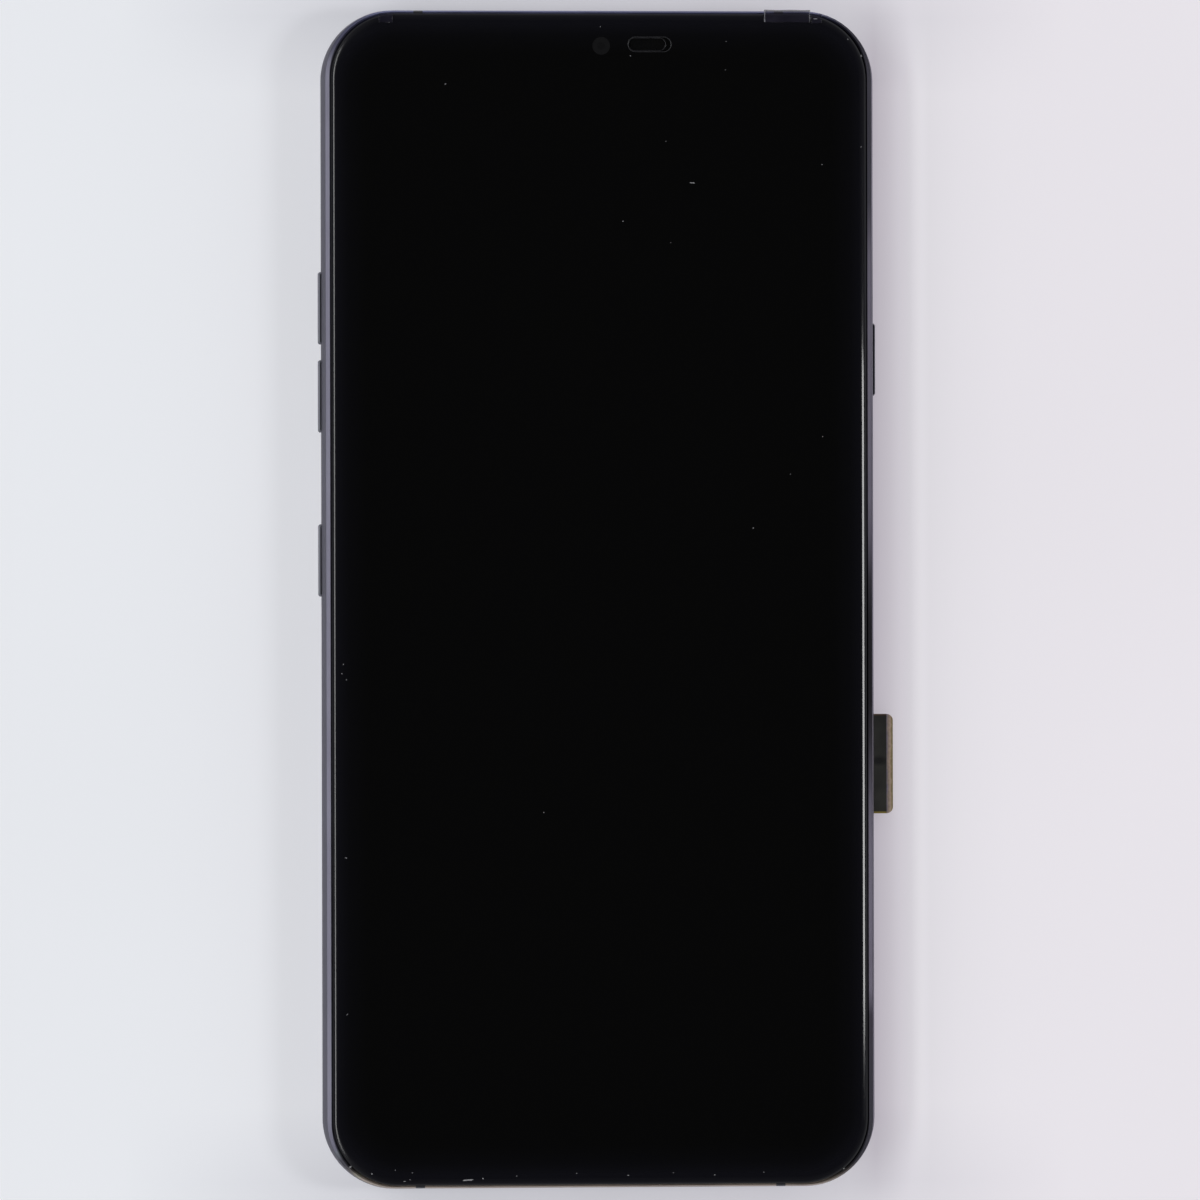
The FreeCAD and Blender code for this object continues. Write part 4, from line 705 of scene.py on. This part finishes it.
# From here on in millimetres: the edge's section falls along a wide bend and ends in a small one.
glass_low, glass_high = (np.array(corner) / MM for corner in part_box("cover_glass"))
glass_half = (glass_high - glass_low)[:2] / 2
glass_corner, edge_run, edge_fall, glass_thick, soft, foot_in = 8.5, 1.2, 0.35, 0.6, 0.05, 0.3
bend = (edge_run ** 2 + edge_fall ** 2) / (2 * edge_fall)
tilt = np.linspace(0, math.asin(edge_run / bend), 16)
steep = np.linspace(tilt[-1], np.pi / 2, 6)[1:]
inset = np.concatenate((
    edge_run - bend * np.sin(tilt),
    soft * (np.sin(tilt[-1]) - np.sin(steep)),
    (soft * (np.sin(tilt[-1]) - 1), foot_in),
))
inset = inset - inset.min()
fall = np.concatenate((
    bend * (np.cos(tilt) - 1),
    -edge_fall + soft * (np.cos(steep) - np.cos(tilt[-1])),
    (-glass_thick, -glass_thick),
))


def rounded(inward, depth, corner_steps=30, side_steps=14):
    """The pane's outline at a depth, drawn in by a length: quarter circles and even sides."""
    turns = np.linspace(0, np.pi / 2, corner_steps)
    arcs = []
    for quarter, way in enumerate(((1, 1), (-1, 1), (-1, -1), (1, -1))):
        angle = turns + quarter * np.pi / 2
        circle = np.stack((np.cos(angle), np.sin(angle)), -1)
        arcs.append((glass_half - glass_corner) * way + (glass_corner - inward) * circle)
    share = np.linspace(0, 1, side_steps + 1)[1:-1, None]
    loop = []
    for arc, following in zip(arcs, arcs[1:] + arcs[:1]):
        loop += [arc, arc[-1] + (following[0] - arc[-1]) * share]
    flat = np.concatenate(loop)
    return np.column_stack((flat, np.full(len(flat), depth)))


edge_loops = [rounded(inward, depth) for inward, depth in zip(inset, fall)]
edge_count = len(edge_loops[0])
slot_at = (6.6, 72.1)
slot_half = (2.85, 1.0)
slot_rim = stadium(*slot_at, *slot_half)
slot_count = len(slot_rim)
flat_points = np.concatenate((edge_loops[0], np.column_stack((slot_rim, np.zeros(slot_count)))))
# The flat top: triangles between the outline and the slot's rim, without those inside the slot.
outer_edges = [(i, (i + 1) % edge_count) for i in range(edge_count)]
slot_edges = [(edge_count + i, edge_count + (i + 1) % slot_count) for i in range(slot_count)]
flat_faces = np.array(delaunay_2d_cdt(
    [Vector(point[:2]) for point in flat_points], outer_edges + slot_edges, [], 0, 1e-5,
)[2])
middle = flat_points[flat_faces].mean(axis=1)[:, :2] - slot_at
slot_reach = slot_half[0] - slot_half[1]
beside = np.clip(middle[:, 0], -slot_reach, slot_reach)
sliver = 0.0005
flat_faces = flat_faces[np.hypot(middle[:, 0] - beside, middle[:, 1]) > slot_half[1] - sliver]
# The edge goes down loop by loop, the slot has a wall, and the underside mirrors the top's faces.
loop_starts = len(flat_points) + edge_count * np.arange(len(edge_loops) - 1)
starts = np.concatenate(((0,), loop_starts))[:, None]
here = np.arange(edge_count)
onward = (here + 1) % edge_count
edge_faces = np.stack(
    (starts[:-1] + here, starts[1:] + here, starts[1:] + onward, starts[:-1] + onward), -1,
).reshape(-1, 4)
wall_top = len(flat_points) + edge_count * (len(edge_loops) - 1)
wall_foot = wall_top + slot_count
wall_here = np.arange(slot_count)
wall_next = (wall_here + 1) % slot_count
wall_faces = np.stack(
    (wall_top + wall_here, wall_top + wall_next, wall_foot + wall_next, wall_foot + wall_here), -1,
)
wall_points = [np.column_stack((slot_rim, np.full(slot_count, z))) for z in (0.0, -glass_thick)]
under_faces = np.where(
    flat_faces < edge_count, flat_faces + starts[-1, 0], flat_faces - edge_count + wall_foot,
)[:, ::-1]
glass_points = np.concatenate([flat_points] + edge_loops[1:] + wall_points) * MM
glass_faces = [
    face for group in (flat_faces, edge_faces, wall_faces, under_faces) for face in group.tolist()
]
front_glass = piece_of("front_glass", glass_points, glass_faces)
front_glass.data.polygons.foreach_set("use_smooth", np.ones(len(glass_faces), dtype=bool))
front_glass.data.materials.append(pane_black)
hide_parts("cover_glass")
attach(front_glass, "chassis")


# Earpiece: the slot's edge is ground to a narrow bevel, which shows as a thin grey outline. The
# rim of the mesh's frame lies below it and shows as a second line at the right end.
def slot_ring(name, centre, half, inward, depth):
    """A thin closed ring round a slot, from its section's steps inward and their heights."""
    outlines = [stadium(*centre, half[0] - step, half[1] - step) for step in inward]
    ring = [np.column_stack((line, np.full(len(line), z))) for line, z in zip(outlines, depth)]
    return swept(name, np.stack(ring) * MM, loop_rows=True, loop_columns=True)


slot_bevel = slot_ring(
    "earpiece_bevel", slot_at, slot_half,
    (0.0, 0.03, 0.07, 0.10, 0.10, 0.0), (0.012, 0.0, -0.03, -0.16, -0.30, -0.30),
)
mesh_rim = slot_ring(
    "earpiece_mesh_rim", (slot_at[0] - 0.33, slot_at[1] + 0.02),
    (slot_half[0] - 0.36, slot_half[1] - 0.13),
    (0.0, 0.02, 0.08, 0.10), (-0.16, -0.12, -0.12, -0.16),
)
ground = grained(
    "ground_glass_edge", (0.010, 0.010, 0.012), (0.022, 0.022, 0.025),
    smooth=0.22, rough=0.34, grain=9000.0, depth=2.0e-6, patch=900.0,
)[0]
for ring_piece in (slot_bevel, mesh_rim):
    ring_piece.data.materials.append(ground)
    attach(ring_piece, "chassis")

# Protective film: what is left of a clear film at the top edge. The pull tab lies on the glass
# and stands a little off towards its tip, and two torn scraps lie beside it.
film_finish = grained(
    "clear_film", (0.017, 0.016, 0.026), (0.030, 0.028, 0.044),
    smooth=0.12, rough=0.30, grain=2500.0, depth=3.0e-6, patch=500.0,
    fixed={"IOR": 1.5, "Alpha": 0.42},
)[0]


def laid_film(name, left, right, low, high, lift, seed):
    """A strip from left to right and low to high, in millimetres. It lies on the glass and rises
    by lift towards the tip, with small waves from three sines whose phases come from the seed."""
    waver, ripple, gap, thick = 0.02, 0.008, 0.012, 0.05
    along = np.linspace(0, 1, 40)[:, None]
    across = np.linspace(0, 1, 36)[None, :]
    phase = np.random.default_rng(seed).uniform(0, 2 * np.pi, 3)
    x = left + (right - left) * across + waver * np.sin(9 * along + phase[0])
    y = low + (high - low) * along + waver * np.sin(11 * across + phase[1])
    wave = ripple * (1 + np.sin(14 * across + phase[2])) * along
    z = gap + lift * np.clip(along - 0.25, 0, 1) ** 1.6 + wave
    points = np.stack(np.broadcast_arrays(x, y, z), axis=-1)
    strip = swept(name, points * MM)
    strip.data.materials.append(film_finish)
    skin = strip.modifiers.new("film_thickness", "SOLIDIFY")
    skin.thickness = thick * MM
    skin.offset = 1.0
    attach(strip, "chassis")
    return strip


tab = laid_film("pull_tab_film", 21.6, 27.55, 75.03, 76.62, 0.05, 3)
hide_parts("film_pull_tab")
right_scrap = laid_film("right_film_scrap", 27.75, 29.05, 74.9, 76.05, 0.05, 5)
left_scrap = laid_film("left_film_scrap", -28.65, -26.85, 74.9, 76.05, 0.04, 8)
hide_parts("film_scraps")
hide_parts("film_scraps")

# Cut edges of the film: light gathers in a clear film and leaves at its cut edges, so each cut
# shows as a bright thread. The widest one is the pull tab's left edge.
thread_finish = grained(
    "lit_film_edge", (0.13, 0.13, 0.15), (0.32, 0.32, 0.35),
    smooth=0.25, rough=0.45, grain=6000.0, depth=2.0e-6, patch=2500.0,
)[0]


def film_edge(name, x, low, high, width, seed):
    """A thread along Y at x, in millimetres: a half-round of that width, whose middle wanders by a
    sine and rises towards the tip."""
    waver, gap, rise, tallest = 0.02, 0.045, 0.05, 0.06
    along = np.linspace(0, 1, 24)[:, None]
    around = np.linspace(np.pi, 0, 7)[None, :]
    phase = np.random.default_rng(seed).uniform(0, 2 * np.pi)
    reach = width / 2 * (0.7 + 0.3 * np.sin(7 * along + phase))
    points = np.stack(np.broadcast_arrays(
        x + waver * np.sin(9 * along + phase) + reach * np.cos(around),
        low + (high - low) * along,
        gap + rise * along + np.minimum(reach, tallest) * np.sin(around),
    ), axis=-1)
    thread = swept(name, points * MM, loop_columns=True, capped=True)
    thread.data.materials.append(thread_finish)
    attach(thread, "chassis")


film_edge("tab_left_edge", 21.62, 75.05, 76.60, 0.15, 2)
film_edge("tab_right_edge", 27.53, 75.2, 76.6, 0.07, 4)
film_edge("scrap_glint", 28.25, 75.40, 75.52, 0.62, 6)


# Dust: pale flakes and lint that settle on the glass and along its edge, as on any bench. They
# only lie there, and a wipe takes them off.
def flake_mesh(name, spots, seed):
    """Each spot is a low dome: a middle point over a ring of nine, whose radii vary by a third."""
    foot, least_top, top_share, sides = 0.004, 0.01, 0.25, 9
    chance = np.random.default_rng(seed)
    spots = np.asarray(spots, dtype=float)
    count = len(spots)
    even = np.linspace(0, 2 * np.pi, sides, endpoint=False)[None, :]
    angle = even + chance.uniform(0, 1, (count, 1))
    reach = 1 + 0.35 * chance.uniform(-1, 1, (count, sides))
    turned = spots[:, 4:5]
    local_x = spots[:, 2:3] * reach * np.cos(angle)
    local_y = spots[:, 3:4] * reach * np.sin(angle)
    x = spots[:, 0:1] + local_x * np.cos(turned) - local_y * np.sin(turned)
    y = spots[:, 1:2] + local_x * np.sin(turned) + local_y * np.cos(turned)
    rim = np.stack((x, y, np.full_like(x, foot)), axis=-1)
    height = least_top + top_share * spots[:, 2:4].min(axis=1)
    top = np.stack((spots[:, 0], spots[:, 1], height), axis=-1)[:, None, :]
    points = np.concatenate((rim, top), axis=1).reshape(-1, 3) * MM
    start = (np.arange(count) * (sides + 1))[:, None]
    step = np.arange(sides)[None, :]
    peak = np.broadcast_to(start + sides, (count, sides))
    slopes = np.stack((start + step, start + (step + 1) % sides, peak), -1).reshape(-1, 3)
    under = start + step[:, ::-1]
    return piece_of(name, points, slopes.tolist() + under.tolist())


# Each speck's place from the middle of the glass, its two half sizes and its turn, in mm.
SPECKS = [
    (-20.0, 66.9, 0.10, 0.07, 0.3), (12.2, 54.1, 0.33, 0.07, -0.1), (8.7, 59.5, 0.06, 0.05, 0.0),
    (3.1, 49.1, 0.09, 0.06, 0.5), (9.3, 46.3, 0.06, 0.05, 0.0), (29.1, 56.5, 0.06, 0.05, 0.0),
    (34.2, 58.8, 0.10, 0.04, 1.4), (16.6, 72.5, 0.055, 0.045, 0.2), (16.5, 68.8, 0.05, 0.05, 0.0),
    (0.2, 74.4, 0.06, 0.04, 0.0), (4.1, 70.6, 0.05, 0.05, 0.0), (29.1, 21.1, 0.08, 0.05, 0.7),
    (20.0, 9.2, 0.10, 0.06, 0.9), (24.9, 16.2, 0.05, 0.05, 0.0), (-7.4, -27.7, 0.09, 0.06, 0.4),
    (-33.4, -8.4, 0.10, 0.05, 1.2), (-33.6, -9.6, 0.06, 0.06, 0.0), (-33.0, -10.4, 0.08, 0.04, 0.3),
    (-33.1, -33.5, 0.16, 0.05, -0.4), (-33.0, -53.8, 0.14, 0.04, 0.9),
    (-17.4, -75.4, 0.7, 0.10, 0.05), (-15.4, -75.2, 0.10, 0.07, 0.1),
    (-11.0, -74.9, 0.08, 0.05, 0.0), (-3.2, -74.6, 0.08, 0.05, 0.3), (3.5, -74.9, 0.12, 0.05, 0.0),
    (9.4, -74.6, 0.07, 0.05, 0.8), (14.8, -74.9, 0.10, 0.05, 0.1), (21.2, -74.6, 0.06, 0.05, 0.0),
    (31.7, -74.2, 0.11, 0.08, 0.5), (-24.6, -74.4, 0.08, 0.05, 0.2),
    (-32.65, -73.6, 0.16, 0.13, 0.4), (-29.85, -74.5, 0.07, 0.12, 0.2),
    (-26.8, -74.05, 0.05, 0.09, 0.1), (-27.3, 74.9, 0.08, 0.06, 0.0), (32.5, 72.8, 0.09, 0.06, 0.2),
    (34.25, 70.65, 0.10, 0.13, 0.0), (-24.9, -75.3, 0.07, 0.05, 0.0),
    (-25.6, -75.5, 0.16, 0.04, 0.1),
]
dust = flake_mesh("glass_dust", SPECKS, 21)
lint = grained(
    "pale_dust", (0.18, 0.18, 0.19), (0.42, 0.42, 0.43),
    smooth=0.8, rough=0.95, grain=20000.0, depth=6.0e-6, patch=3000.0,
)[0]
dust.data.materials.append(lint)
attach(dust, "chassis")
